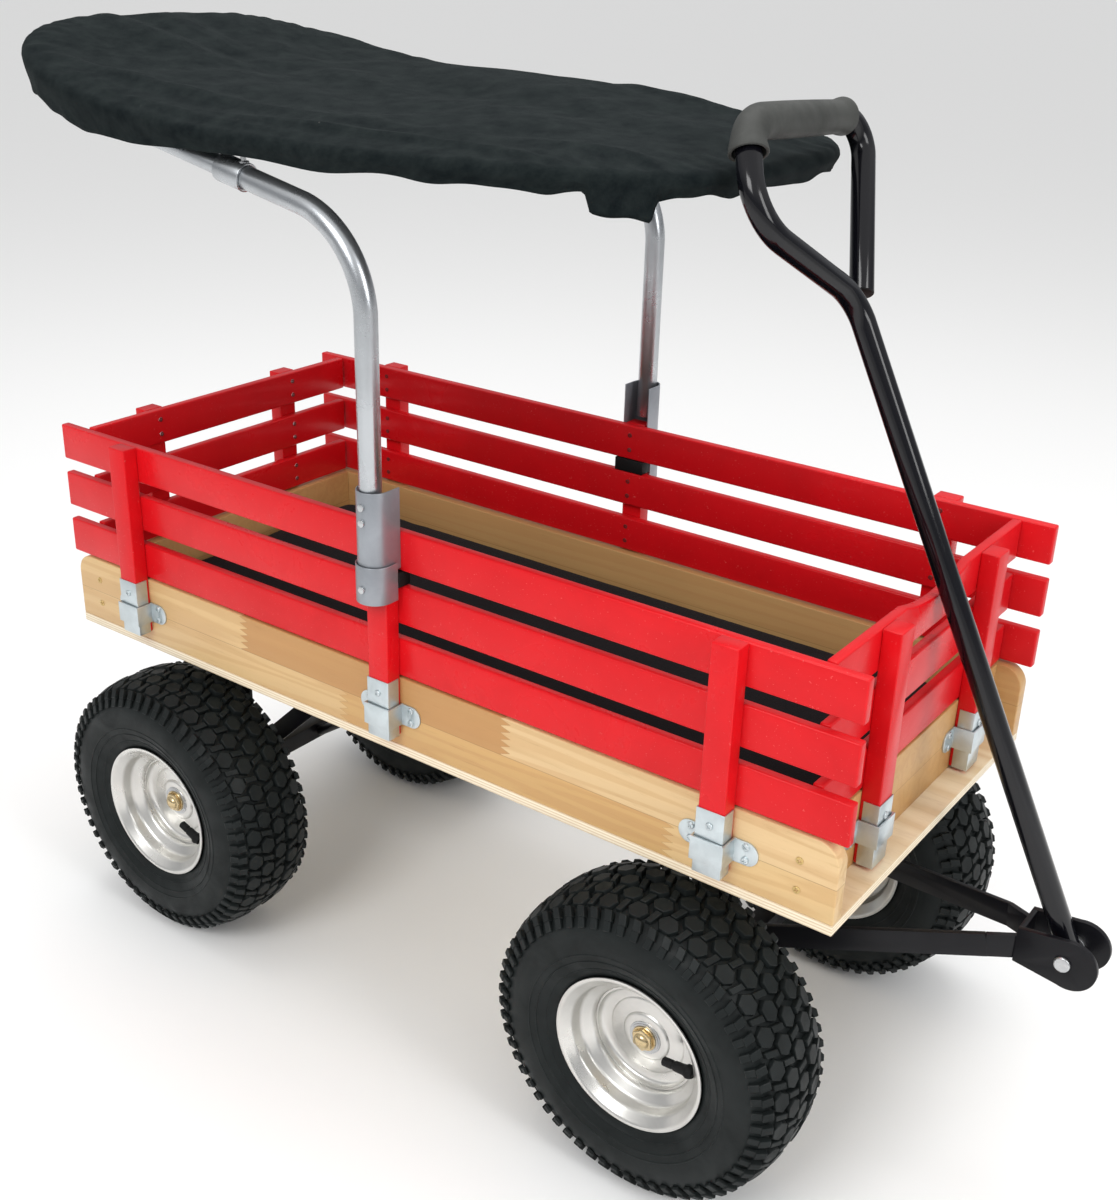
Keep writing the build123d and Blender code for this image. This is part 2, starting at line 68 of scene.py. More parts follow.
def at(x, y, z):
    # a place measured in millimetres from the deck's centre, as a point of the frame
    return Vector((x / 1000 - wagonShift, y / 1000, z / 1000))


# selecting, shaping and finishing

def pick(piece):
    for other in list(bpy.context.selected_objects):
        other.select_set(False)
    piece.select_set(True)
    bpy.context.view_layer.objects.active = piece
    return piece


def editAll(piece):
    pick(piece)
    bpy.ops.object.mode_set(mode="EDIT")
    bpy.ops.mesh.select_all(action="SELECT")


def endEdit():
    bpy.ops.object.mode_set(mode="OBJECT")


def modify(piece, kind, **settings):
    pick(piece)
    modifier = piece.modifiers.new(kind.lower(), kind)
    for name, value in settings.items():
        setattr(modifier, name, value)
    bpy.ops.object.modifier_apply(modifier=modifier.name)
    return piece

def bevelled(piece, width, segments=2, angle=40):
    return modify(piece, "BEVEL", width=width, segments=segments, limit_method="ANGLE",
                  angle_limit=math.radians(angle))


def settled():
    # the new primitive, its place, turn and size taken into its mesh
    bpy.ops.object.transform_apply(location=True, rotation=True, scale=True)
    return bpy.context.active_object


def pickNothing(piece):
    editAll(piece)
    bpy.ops.mesh.select_all(action="DESELECT")
    endEdit()

def newPiece(name, points, edges=(), faces=()):
    mesh = bpy.data.meshes.new(name)
    mesh.from_pydata([tuple(p) for p in points], list(edges), list(faces))
    piece = bpy.data.objects.new(name, mesh)
    bpy.context.scene.collection.objects.link(piece)
    return piece


def tidyNormals(piece, near=0.00002):
    editAll(piece)
    bpy.ops.mesh.remove_doubles(threshold=near)
    bpy.ops.mesh.normals_make_consistent(inside=False)
    endEdit()
    return piece


def smooth(piece, angle=35):
    pick(piece)
    bpy.ops.object.shade_smooth_by_angle(angle=math.radians(angle))
    return piece


def lathe(name, outline, steps=96, closed=True):
    # an outline of (radius, along the axle) spun about Y
    count = len(outline)
    links = [(i, i + 1) for i in range(count - 1)] + ([(count - 1, 0)] if closed else [])
    piece = newPiece(name, [(r, y, 0) for r, y in outline], links)
    editAll(piece)
    bpy.ops.mesh.spin(steps=steps, angle=math.tau, center=(0, 0, 0), axis=(0, 1, 0))
    endEdit()
    return tidyNormals(piece)


def joined(name, pieces):
    pick(pieces[0])
    for piece in pieces[1:]:
        piece.select_set(True)
    if len(pieces) > 1:
        bpy.ops.object.join()
    pieces[0].name = name
    pieces[0].data.name = name
    return pieces[0]


def copied(piece, name, matrix):
    twin = piece.copy()
    twin.data = piece.data.copy()
    twin.name = name
    bpy.context.scene.collection.objects.link(twin)
    twin.data.transform(matrix)
    return twin


def painted(piece, material):
    piece.data.materials.clear()
    piece.data.materials.append(material)
    return piece


def handOver(piece, body, slot, material, *stoodFor):
    painted(piece, material)
    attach(piece, body)
    if stoodFor:
        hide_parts(*stoodFor)
    return piece


def softened(node, material, slot, width, segments=2):
    # a CAD node's shape with its hard edges rounded over
    piece = copied(nodes[node], node + "_eased", Matrix.Identity(4))
    for key in list(piece.keys()):
        del piece[key]
    piece.parent = None
    editAll(piece)
    bpy.ops.mesh.remove_doubles(threshold=0.00001)
    bpy.ops.mesh.dissolve_limited(angle_limit=math.radians(2))
    endEdit()
    bevelled(piece, width, segments, 35)
    smooth(piece, 40)
    return handOver(piece, nodes[node]["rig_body"], slot, material, node)


def roundedRoute(corners, bends, arcSteps=10):
    # straight runs joined by arcs, as a list of points
    route = [Vector(corners[0])]
    for i in range(1, len(corners) - 1):
        here = Vector(corners[i])
        back = (Vector(corners[i - 1]) - here).normalized()
        ahead = (Vector(corners[i + 1]) - here).normalized()
        half = back.angle(ahead) / 2
        bend = bends[i - 1]
        reach = bend / math.tan(half)
        middle = here + (back + ahead).normalized() * (bend / math.sin(half))
        start, end = here + back * reach, here + ahead * reach
        spoke, last = start - middle, end - middle
        turn = spoke.angle(last)
        axle = spoke.cross(last).normalized()
        for k in range(arcSteps + 1):
            route.append(middle + Matrix.Rotation(turn * k / arcSteps, 3, axle) @ spoke)
    route.append(Vector(corners[-1]))
    return route


def sweptPipe(name, route, radii, around=32, capped=True, looped=False):
    # rings carried along a route without twist; radii is one number for each point
    rings, points, faces = len(route), [], []
    ahead = (route[1] - route[0]).normalized()
    side = ahead.orthogonal().normalized()
    for i, centre in enumerate(route):
        nextWay = (route[min(i + 1, rings - 1)] - route[max(i - 1, 0)]).normalized()
        side = (ahead.rotation_difference(nextWay) @ side).normalized()
        side = (side - nextWay * side.dot(nextWay)).normalized()
        ahead = nextWay
        other = ahead.cross(side)
        for k in range(around):
            angle = math.tau * k / around
            spoke = side * math.cos(angle) + other * math.sin(angle)
            points.append(centre + spoke * radii[i])
    for i in range(rings if looped else rings - 1):
        here, after = i * around, (i + 1) % rings * around
        for k in range(around):
            m = (k + 1) % around
            faces.append((here + k, here + m, after + m, after + k))
    if capped and not looped:
        faces.append(tuple(range(around))[::-1])
        faces.append(tuple((rings - 1) * around + k for k in range(around)))
    return tidyNormals(newPiece(name, points, (), faces))


# shader parts shared by several finishes

def addNode(tree, kind, **settings):
    node = tree.nodes.new(kind)
    for name, value in settings.items():
        if name in node.bl_rna.properties:
            setattr(node, name, value)
        else:
            node.inputs[name.replace("_", " ")].default_value = value
    return node


def wire(tree, output, target):
    tree.links.new(output, target)


def newGroup(name, inputs, outputs):
    group = bpy.data.node_groups.new(name, "ShaderNodeTree")
    for socket, value in inputs.items():
        made = group.interface.new_socket(socket, in_out="INPUT", socket_type="NodeSocketFloat")
        made.default_value = value
    for socket in outputs:
        group.interface.new_socket(socket, in_out="OUTPUT", socket_type="NodeSocketFloat")
    return group, group.nodes.new("NodeGroupInput"), group.nodes.new("NodeGroupOutput")


def mathNode(tree, operation, *values):
    node = addNode(tree, "ShaderNodeMath", operation=operation)
    for socket, value in zip(node.inputs, values):
        if isinstance(value, (int, float)):
            socket.default_value = value
        else:
            wire(tree, value, socket)
    return node.outputs[0]


def times(tree, value, amount):
    return mathNode(tree, "MULTIPLY", value, amount)


def gap(tree, value, place):
    return mathNode(tree, "ABSOLUTE", mathNode(tree, "SUBTRACT", value, place))


def shaded(colour, share):
    return tuple(c * share for c in colour)


def ramp(tree, factor, stops):
    node = addNode(tree, "ShaderNodeValToRGB")
    elements = node.color_ramp.elements
    while len(elements) < len(stops):
        elements.new(0.5)
    for element, (place, colour) in zip(elements, stops):
        element.position = place
        element.color = (*colour, 1)
    wire(tree, factor, node.inputs["Fac"])
    return node.outputs["Color"]


def mixed(tree, factor, first, second):
    node = addNode(tree, "ShaderNodeMix", data_type="RGBA")
    for socket, value in zip((node.inputs["Factor"], node.inputs[6], node.inputs[7]),
                             (factor, first, second)):
        if isinstance(value, (int, float)):
            socket.default_value = value
        elif isinstance(value, tuple):
            socket.default_value = (*value, 1)
        else:
            wire(tree, value, socket)
    return node.outputs[2]


def objectPlace(tree):
    return addNode(tree, "ShaderNodeTexCoord").outputs["Object"]


def axes(tree, vector):
    node = addNode(tree, "ShaderNodeSeparateXYZ")
    wire(tree, vector, node.inputs[0])
    return node.outputs


def noise(tree, vector, **settings):
    node = addNode(tree, "ShaderNodeTexNoise", **settings)
    wire(tree, vector, node.inputs["Vector"])
    return node


def widened(tree, value, low, high):
    # the span from low to high, spread out to 0 and 1
    node = addNode(tree, "ShaderNodeMapRange", From_Min=low, From_Max=high)
    wire(tree, value, node.inputs["Value"])
    return node.outputs["Result"]


def handMarksGroup():
    # smudges and fine unevenness: a mask and a height
    group, into, out = newGroup("handMarks", {"Size": 12.0, "Grit": 900.0, "Amount": 0.5},
                                ("Mask", "Height"))
    place = objectPlace(group)
    large = noise(group, place, Detail=5.0, Roughness=0.62, Distortion=0.4)
    small = noise(group, place, Detail=3.0, Roughness=0.6)
    wire(group, into.outputs["Size"], large.inputs["Scale"])
    wire(group, into.outputs["Grit"], small.inputs["Scale"])
    mask = widened(group, large.outputs["Fac"], 0.38, 0.66)
    wire(group, times(group, mask, into.outputs["Amount"]), out.inputs["Mask"])
    wire(group, small.outputs["Fac"], out.inputs["Height"])
    return group


def rubbedEdgeGroup():
    # a broken mask along outside corners
    group, into, out = newGroup("rubbedEdge", {"Reach": 0.0012, "Breakup": 140.0}, ("Mask",))
    rounded = addNode(group, "ShaderNodeBevel", samples=4)
    wire(group, into.outputs["Reach"], rounded.inputs["Radius"])
    plain = addNode(group, "ShaderNodeNewGeometry")
    dot = addNode(group, "ShaderNodeVectorMath", operation="DOT_PRODUCT")
    wire(group, rounded.outputs[0], dot.inputs[0])
    wire(group, plain.outputs["Normal"], dot.inputs[1])
    edge = widened(group, dot.outputs["Value"], 0.995, 0.93)
    flecks = noise(group, objectPlace(group), Detail=4.0, Roughness=0.7)
    wire(group, into.outputs["Breakup"], flecks.inputs["Scale"])
    broken = widened(group, flecks.outputs["Fac"], 0.5, 0.62)
    wire(group, times(group, edge, broken), out.inputs["Mask"])
    return group


def woodFigureGroup():
    # long growth lines along X with fine pores
    group, into, out = newGroup("woodFigure", {"Across": 26.0, "Along": 1.6, "Shift": 0.0},
                                ("Lines", "Pores", "Cloud"))
    x, y, z = axes(group, objectPlace(group))
    across, shift = into.outputs["Across"], into.outputs["Shift"]
    along = mathNode(group, "ADD", times(group, x, into.outputs["Along"]), shift)
    upward = mathNode(group, "ADD", times(group, z, across), shift)
    fibres = addNode(group, "ShaderNodeCombineXYZ")
    for socket, value in zip(fibres.inputs, (along, times(group, y, across), upward)):
        wire(group, value, socket)
    warp = noise(group, fibres.outputs[0], Scale=0.9, Detail=2.0)
    lines = mathNode(group, "SINE", times(group, warp.outputs["Fac"], 46.0))
    wire(group, mathNode(group, "MULTIPLY_ADD", lines, 0.5, 0.5), out.inputs["Lines"])
    pores = noise(group, fibres.outputs[0], Scale=16.0, Detail=6.0, Roughness=0.75)
    wire(group, pores.outputs["Fac"], out.inputs["Pores"])
    cloud = noise(group, fibres.outputs[0], Scale=2.2, Detail=3.0)
    wire(group, cloud.outputs["Fac"], out.inputs["Cloud"])
    return group


handMarks = handMarksGroup()
rubbedEdge = rubbedEdgeGroup()
woodFigure = woodFigureGroup()


def useGroup(tree, group, **values):
    node = addNode(tree, "ShaderNodeGroup", node_tree=group)
    for name, value in values.items():
        node.inputs[name].default_value = value
    return node.outputs


def startMaterial(name, **settings):
    material = bpy.data.materials.new(name)
    material.use_nodes = True
    shader = material.node_tree.nodes["Principled BSDF"]
    for socket, value in settings.items():
        shader.inputs[socket.replace("_", " ")].default_value = value
    return material, material.node_tree, shader


def finishCoat(tree, shader, colour, uneven, roughness, height, strength, distance):
    # a finish's colour, its gloss between two roughnesses, and its raised surface
    wire(tree, colour, shader.inputs["Base Color"])
    gloss = addNode(tree, "ShaderNodeMapRange", To_Min=roughness[0], To_Max=roughness[1])
    wire(tree, uneven, gloss.inputs["Value"])
    wire(tree, gloss.outputs["Result"], shader.inputs["Roughness"])
    bump = addNode(tree, "ShaderNodeBump", Strength=strength, Distance=distance)
    wire(tree, height, bump.inputs["Height"])
    wire(tree, bump.outputs["Normal"], shader.inputs["Normal"])


def coatedMetal(name, colour, worn, roughness, metallic=0.0, coat=0.0, marks=10.0, grit=1400.0, peel=0.08,
                **more):
    # paint, powder coat or plating: one base colour, smudges, uneven gloss and rubbed corners
    material, tree, shader = startMaterial(name, Metallic=metallic, Coat_Weight=coat, **more)
    smudge = useGroup(tree, handMarks, Size=marks, Grit=grit, Amount=1.0)
    edge = useGroup(tree, rubbedEdge, Reach=0.0009, Breakup=160.0)
    base = mixed(tree, smudge["Mask"], colour, shaded(colour, 0.86))
    base = mixed(tree, times(tree, edge["Mask"], 0.6), base, worn)
    finishCoat(tree, shader, base, smudge["Mask"], roughness, smudge["Height"], peel, 0.0004)
    return material


def birchMaterial(name, wood, light, tones):
    # two glued birch staves, one above the other, each with finger joints, under thin varnish
    material, tree, shader = startMaterial(name, Coat_Weight=0.12, Coat_Roughness=0.2,
                                           Specular_IOR_Level=0.25)
    x, y, z = axes(tree, objectPlace(tree))
    upper = mathNode(tree, "GREATER_THAN", z, wood["seam"])
    dark = wood["dark"]
    figure = useGroup(tree, woodFigure, Across=22.0, Along=1.5)
    plain = useGroup(tree, woodFigure, Across=30.0, Along=0.9, Shift=5.0)
    lines = mixed(tree, upper, figure["Lines"], plain["Lines"])
    tone = mixed(tree, figure["Cloud"], light, shaded(light, 0.84))
    saw = mathNode(tree, "PINGPONG", times(tree, z, 1 / wood["fingerPitch"]), 1.0)
    edgeX = mathNode(tree, "ADD", x, times(tree, saw, wood["fingerDepth"]))
    for isUpper, start, shade in tones:
        row = upper if isUpper else mathNode(tree, "SUBTRACT", 1.0, upper)
        past = times(tree, mathNode(tree, "GREATER_THAN", edgeX, start), row)
        tone = mixed(tree, past, tone, mixed(tree, figure["Cloud"], shade, shaded(shade, 0.84)))
        line = times(tree, mathNode(tree, "LESS_THAN", gap(tree, edgeX, start), 0.0005), row)
        tone = mixed(tree, times(tree, line, 0.5), tone, shaded(dark, 0.45))
    seam = mathNode(tree, "LESS_THAN", gap(tree, z, wood["seam"]), 0.00045)
    edge = useGroup(tree, rubbedEdge, Reach=0.0015, Breakup=60.0)
    for mask, amount, share in ((widened(tree, lines, 0.35, 0.8), 0.30, 1.0),
                                (widened(tree, figure["Pores"], 0.56, 0.74), 0.30, 0.7),
                                (seam, 0.45, 0.5), (edge["Mask"], 0.3, 0.6)):
        tone = mixed(tree, times(tree, mask, amount), tone, shaded(dark, share))
    finishCoat(tree, shader, tone, figure["Pores"], (0.34, 0.50), figure["Pores"], 0.12, 0.0006)
    return material


boardWood = {"dark": (0.50, 0.255, 0.095), "seam": 0.4535, "fingerPitch": 0.0045, "fingerDepth": 0.014}
sideBirch = birchMaterial("sideBirch", boardWood, (0.74, 0.50, 0.24),
                          [(True, -0.2995, (0.56, 0.30, 0.115)), (True, 0.1165, (0.78, 0.55, 0.29)),
                           (False, -0.1295, (0.66, 0.40, 0.16)), (False, 0.3300, (0.76, 0.52, 0.25))])
# the far board is the same birch with a darker base colour: painted shade for its side in shadow
farBirchPaintedShade = birchMaterial("farBirchPaintedShade", boardWood, (0.60, 0.36, 0.145), [])
endBirch = birchMaterial("endBirch", boardWood, (0.62, 0.36, 0.14), [])

deckPly = {"plyPitch": 0.0017, "plies": [(0.0, (0.58, 0.42, 0.26)), (0.2, (0.76, 0.62, 0.43)),
                                         (0.6, (0.86, 0.75, 0.57)), (1.0, (0.88, 0.79, 0.62))]}


def plywoodMaterial():
    # wood figure on the faces, plies at the edges
    material, tree, shader = startMaterial("deckPlywood", Coat_Weight=0.05, Coat_Roughness=0.3,
                                           Specular_IOR_Level=0.25)
    figure = useGroup(tree, woodFigure, Across=9.0, Along=1.1, Shift=3.0)
    top = mixed(tree, figure["Lines"], (0.80, 0.66, 0.45), (0.70, 0.53, 0.32))
    height = axes(tree, objectPlace(tree))["Z"]
    ply = mathNode(tree, "PINGPONG", times(tree, height, 1 / deckPly["plyPitch"]), 1.0)
    facing = axes(tree, addNode(tree, "ShaderNodeNewGeometry").outputs["Normal"])["Z"]
    flat = mathNode(tree, "GREATER_THAN", mathNode(tree, "ABSOLUTE", facing), 0.7)
    tone = mixed(tree, flat, ramp(tree, ply, deckPly["plies"]), top)
    pore = widened(tree, figure["Pores"], 0.5, 0.8)
    tone = mixed(tree, times(tree, pore, 0.4), tone, (0.45, 0.29, 0.15))
    finishCoat(tree, shader, tone, figure["Pores"], (0.38, 0.55), figure["Pores"], 0.15, 0.0005)
    return material


rackRed = {"fresh": (0.70, 0.007, 0.012), "handled": (0.61, 0.005, 0.009), "pores": (0.46, 0.002, 0.005),
           "chipped": (0.80, 0.22, 0.20)}


def rackPaintMaterial():
    # glossy red enamel over wood: the grain telegraphs, corners are slightly thin
    material, tree, shader = startMaterial("rackEnamel", Coat_Weight=0.06, Coat_Roughness=0.15,
                                           Specular_IOR_Level=0.2)
    figure = useGroup(tree, woodFigure, Across=60.0, Along=3.0, Shift=7.0)
    smudge = useGroup(tree, handMarks, Size=7.0, Grit=260.0, Amount=1.0)
    edge = useGroup(tree, rubbedEdge, Reach=0.0012, Breakup=220.0)
    base = mixed(tree, smudge["Mask"], rackRed["fresh"], rackRed["handled"])
    pore = widened(tree, figure["Pores"], 0.6, 0.78)
    base = mixed(tree, times(tree, pore, 0.35), base, rackRed["pores"])
    speck = noise(tree, objectPlace(tree), Scale=420.0, Detail=1.0)
    chip = widened(tree, speck.outputs["Fac"], 0.735, 0.75)
    worn = mathNode(tree, "MAXIMUM", times(tree, edge["Mask"], 0.4), times(tree, chip, 0.35))
    base = mixed(tree, worn, base, rackRed["chipped"])
    finishCoat(tree, shader, base, smudge["Mask"], (0.26, 0.42), figure["Pores"], 0.12, 0.0005)
    return material


def rubberMaterial(name, colour, dusty, roughness, grit, height):
    # matt rubber, dusty along its corners
    material, tree, shader = startMaterial(name, Specular_IOR_Level=0.16)
    smudge = useGroup(tree, handMarks, Size=22.0, Grit=grit, Amount=1.0)
    edge = useGroup(tree, rubbedEdge, Reach=0.0011, Breakup=90.0)
    base = mixed(tree, smudge["Mask"], colour, shaded(colour, 0.7))
    base = mixed(tree, times(tree, edge["Mask"], 0.5), base, dusty)
    finishCoat(tree, shader, base, smudge["Mask"], roughness, smudge["Height"], height, 0.0005)
    return material


cotton = {"thread": 0.0016, "dark": (0.0042, 0.0070, 0.0080), "faded": (0.016, 0.021, 0.021),
          "lint": (0.16, 0.15, 0.14), "lintRadius": 0.022}


def clothMaterial():
    # black cotton: plain weave, faded mottling and lint
    material, tree, shader = startMaterial("canopyCotton", Specular_IOR_Level=0.05, Sheen_Weight=0.03,
                                           Sheen_Roughness=0.45, Sheen_Tint=(0.55, 0.6, 0.62, 1))
    threads = addNode(tree, "ShaderNodeUVMap").outputs["UV"]
    x, y, z = axes(tree, threads)
    warp, weft = (mathNode(tree, "SINE", times(tree, way, math.tau / cotton["thread"])) for way in (x, y))
    mottle = noise(tree, threads, Scale=34.0, Detail=8.0, Roughness=0.72).outputs["Fac"]
    base = mixed(tree, widened(tree, mottle, 0.35, 0.68), cotton["dark"], cotton["faded"])
    lint = addNode(tree, "ShaderNodeTexVoronoi", Scale=26.0, feature="F1")
    wire(tree, threads, lint.inputs["Vector"])
    fleck = mathNode(tree, "LESS_THAN", lint.outputs["Distance"], cotton["lintRadius"])
    base = mixed(tree, times(tree, fleck, 0.3), base, cotton["lint"])
    finishCoat(tree, shader, base, mottle, (0.78, 0.95), times(tree, warp, weft), 0.35, 0.0003)
    return material


def carpetMaterial():
    # short black pile with flattened patches
    material, tree, shader = startMaterial("bedCarpet", Specular_IOR_Level=0.08, Sheen_Weight=0.03,
                                           Sheen_Roughness=0.6)
    place = objectPlace(tree)
    pile = noise(tree, place, Scale=420.0, Detail=4.0, Roughness=0.8).outputs["Fac"]
    patch = noise(tree, place, Scale=9.0, Detail=4.0).outputs["Fac"]
    base = mixed(tree, pile, (0.002, 0.002, 0.003), (0.016, 0.016, 0.018))
    base = mixed(tree, times(tree, patch, 0.4), base, (0.004, 0.004, 0.005))
    finishCoat(tree, shader, base, patch, (0.85, 1.0), pile, 0.8, 0.0015)
    return material


deckPlywood = plywoodMaterial()
rackEnamel = rackPaintMaterial()
canopyCotton = clothMaterial()
bedCarpet = carpetMaterial()
zincPlate = coatedMetal("zincPlate", (0.58, 0.64, 0.66), (0.82, 0.83, 0.82), (0.28, 0.35), metallic=0.8,
                        marks=38.0, peel=0.05)
yellowZinc = coatedMetal("yellowZinc", (0.66, 0.52, 0.30), (0.75, 0.70, 0.6), (0.18, 0.34), metallic=0.95,
                         marks=60.0)
brassScrew = coatedMetal("brassScrew", (0.62, 0.44, 0.18), (0.8, 0.65, 0.35), (0.25, 0.4), metallic=0.9,
                         marks=80.0)
slatScrew = coatedMetal("slatScrew", (0.22, 0.03, 0.03), (0.4, 0.2, 0.18), (0.35, 0.5), metallic=0.4,
                        marks=80.0)
glossBlack = coatedMetal("glossBlack", (0.004, 0.004, 0.006), (0.03, 0.03, 0.03), (0.09, 0.18), coat=0.08,
                         marks=14.0, peel=0.03, Coat_Roughness=0.05, Specular_IOR_Level=0.35)
satinBlack = coatedMetal("satinBlack", (0.006, 0.006, 0.008), (0.04, 0.04, 0.04), (0.30, 0.44), coat=0.04,
                         Specular_IOR_Level=0.2, marks=18.0, peel=0.10)
silverTube = coatedMetal("silverTube", (0.48, 0.50, 0.52), (0.62, 0.62, 0.62), (0.24, 0.36), metallic=0.9,
                         marks=16.0, grit=2200.0, peel=0.05)
greyBracket = coatedMetal("greyBracket", (0.33, 0.35, 0.38), (0.6, 0.6, 0.6), (0.32, 0.46), metallic=0.6,
                          marks=20.0, grit=1800.0, peel=0.08)
rimSilver = coatedMetal("rimSilver", (0.70, 0.69, 0.66), (0.85, 0.85, 0.83), (0.27, 0.36), metallic=0.86,
                        marks=12.0, grit=2400.0, peel=0.05)
platedSteel = coatedMetal("platedSteel", (0.55, 0.56, 0.57), (0.75, 0.75, 0.75), (0.22, 0.36),
                          metallic=0.95, marks=30.0)
tyreRubber = rubberMaterial("tyreRubber", (0.012, 0.015, 0.015), (0.035, 0.038, 0.036), (0.42, 0.62),
                            1500.0, 0.16)
gripRubber = rubberMaterial("gripRubber", (0.060, 0.062, 0.058), (0.10, 0.10, 0.09), (0.48, 0.62), 2600.0,
                            0.22)
padRubber = rubberMaterial("padRubber", (0.010, 0.010, 0.010), (0.04, 0.04, 0.04), (0.5, 0.66), 1800.0, 0.2)
print("finishes made")

# wood and racks

# the far board takes the darker birch, which is painted shade
for node, finish in (("side_board_right", sideBirch), ("side_board_left", farBirchPaintedShade)):
    softened(node, finish, "clear_wood", 0.0016, 3)
for node in ("end_board_front", "end_board_rear"):
    softened(node, endBirch, "clear_wood", 0.0012)
softened("deck", deckPlywood, "clear_wood", 0.0009)
for side in ("right", "left", "front", "rear"):
    softened(side + "_rack_slats", rackEnamel, "red_rack_paint", 0.0022, 3)
    softened(side + "_rack_stakes", rackEnamel, "red_rack_paint", 0.0016, 3)
print("boards, deck and racks finished")

# sheet metal and running gear

for finish, slot, width, names in (
        (zincPlate, "zinc_steel", 0.0004, "stake_pockets rack_shoes"),
        (platedSteel, "black_steel", 0.0008, "turntable_plate_upper turntable_plate_lower"),
        (satinBlack, "black_steel", 0.0008, "rear_bolster front_bolster rear_axle front_axle"),
        (satinBlack, "black_steel", 0.0008, "rear_braces tongue_bars yoke"),
        (platedSteel, "zinc_steel", 0.0005, "king_bolt handle_pivot_bolt"),
        (greyBracket, "grey_bracket_paint", 0.0004, "canopy_brackets bracket_collars"),
        (padRubber, "black_rubber", 0.0012, "clamp_pads"),
        (silverTube, "canopy_tube_steel", 0.0005, "tube_sleeves"),
        (silverTube, "canopy_tube_steel", 0.0003, "canopy_tubes canopy_struts"),
        (glossBlack, "black_steel", 0.0003, "handle_tube")):
    for node in names.split():
        softened(node, finish, slot, width)
print("steelwork finished")

# wheels: made at the origin with the axle on Y and the outboard side towards -Y

tyre = {"steps": 132, "repeats": 30, "blockHeight": 0.0070,
        "outside": [(0.1772, 0.0), (0.1770, 0.018), (0.1757, 0.034), (0.1722, 0.047), (0.1660, 0.0560),
                    (0.1570, 0.0622),
                    (0.1460, 0.0660), (0.1340, 0.0674), (0.1262, 0.0670), (0.1256, 0.0676),
                    (0.1246, 0.0676),
                    (0.1240, 0.0667), (0.1175, 0.0652), (0.1169, 0.0658), (0.1160, 0.0656),
                    (0.1154, 0.0645),
                    (0.1090, 0.0617), (0.1060, 0.0600), (0.1050, 0.0604), (0.1040, 0.0598),
                    (0.1032, 0.0587),
                    (0.0990, 0.0568), (0.0968, 0.0556), (0.0950, 0.0550), (0.0930, 0.0530),
                    (0.0890, 0.0505)],
        "inside": [(0.0885, 0.044), (0.0980, 0.0460), (0.1150, 0.0550), (0.1340, 0.0590), (0.1500, 0.0560),
                   (0.1620, 0.0480), (0.1690, 0.0300), (0.1700, 0.0)]}


def treadBlock(name, corners, radius, across, tilt, height, turn):
    # one moulded block: corners are (around, across) on the tread, tilt leans it down the shoulder
    outward = Vector((math.cos(tilt), math.sin(tilt), 0))
    sideways = Vector((-math.sin(tilt), math.cos(tilt), 0))
    foot = Vector((radius, across, 0))
    points = [foot + sideways * b + Vector((0, 0, a)) for a, b in corners]
    block = newPiece(name, points, (), [tuple(range(len(points)))])
    editAll(block)
    bpy.ops.mesh.extrude_region_move(TRANSFORM_OT_translate={"value": outward * height})
    bpy.ops.transform.resize(value=(1.0, 0.93, 0.9), center_override=tuple(foot + outward * height))
    bpy.ops.mesh.select_all(action="SELECT")
    bpy.ops.mesh.normals_make_consistent(inside=False)
    endEdit()
    bevelled(block, 0.0006, 1)
    block.data.transform(Matrix.Rotation(turn, 4, "Y"))
    return block


def hexagon(long, wide):
    return [(-long / 2, 0), (-long / 4, -wide / 2), (long / 4, -wide / 2), (long / 2, 0),
            (long / 4, wide / 2), (-long / 4, wide / 2)]


def zigzag(long, wide, lean):
    return [(-long / 2 - lean, -wide / 2), (long / 2 - lean, -wide / 2), (long / 2, 0),
            (long / 2 + lean, wide / 2), (-long / 2 + lean, wide / 2), (-long / 2, 0)]


def buildTread():
    pitch = math.tau / tyre["repeats"]
    tall = tyre["blockHeight"]
    parts = []
    for side in (-1, 1):
        for row, (across, radius, lean, turn) in enumerate(((0.0215, 0.1765, 0.10, 0.25),
                                                            (0.0395, 0.1740, 0.30, 0.75))):
            parts.append(treadBlock("hexBlock", hexagon(0.0262, 0.0196), radius, side * across, side * lean,
                                    tall - 0.0012 * row, turn * pitch))
            parts.append(treadBlock("linkBlock", zigzag(0.0078, 0.0172, side * 0.0022), radius,
                                    side * across, side * lean,
                                    tall - 0.0014 * row, (turn + 0.5) * pitch))
        for k in range(2):
            turn = (k / 2 + 0.02) * pitch
            lug = zigzag(0.0098, 0.0120, side * -0.0016)
            parts.append(treadBlock("shoulderLug", lug, 0.1690, side * 0.0540, side * 0.86, tall - 0.0008,
                                    turn))
            parts.append(treadBlock("sideLug", zigzag(0.0088, 0.0120, 0.0), 0.1608, side * 0.0605,
                                    side * 1.10, tall - 0.0032, turn - side * 0.002))
    parts.append(treadBlock("hexBlock", hexagon(0.0262, 0.0196), 0.1770, 0.0, 0.0, tall - 0.0008,
                            0.75 * pitch))
    parts.append(treadBlock("linkBlock", zigzag(0.0078, 0.0172, 0.0022), 0.1770, 0.0, 0.0, tall - 0.0008,
                            0.25 * pitch))
    sector = joined("treadSector", parts)
    ring = [sector] + [copied(sector, "treadSector",
                              Matrix.Rotation(pitch * k, 4, "Y")) for k in range(1, tyre["repeats"])]
    return joined("treadRing", ring)


def buildTyre():
    half = tyre["outside"]
    outline = half + tyre["inside"]
    mirror = [(r, -y) for r, y in reversed(outline[1:-1])]
    carcass = lathe("tyreCarcass", outline + mirror, tyre["steps"])
    smooth(carcass, 30)
    tread = smooth(buildTread(), 30)
    return joined("turfTyre", [carcass, tread])


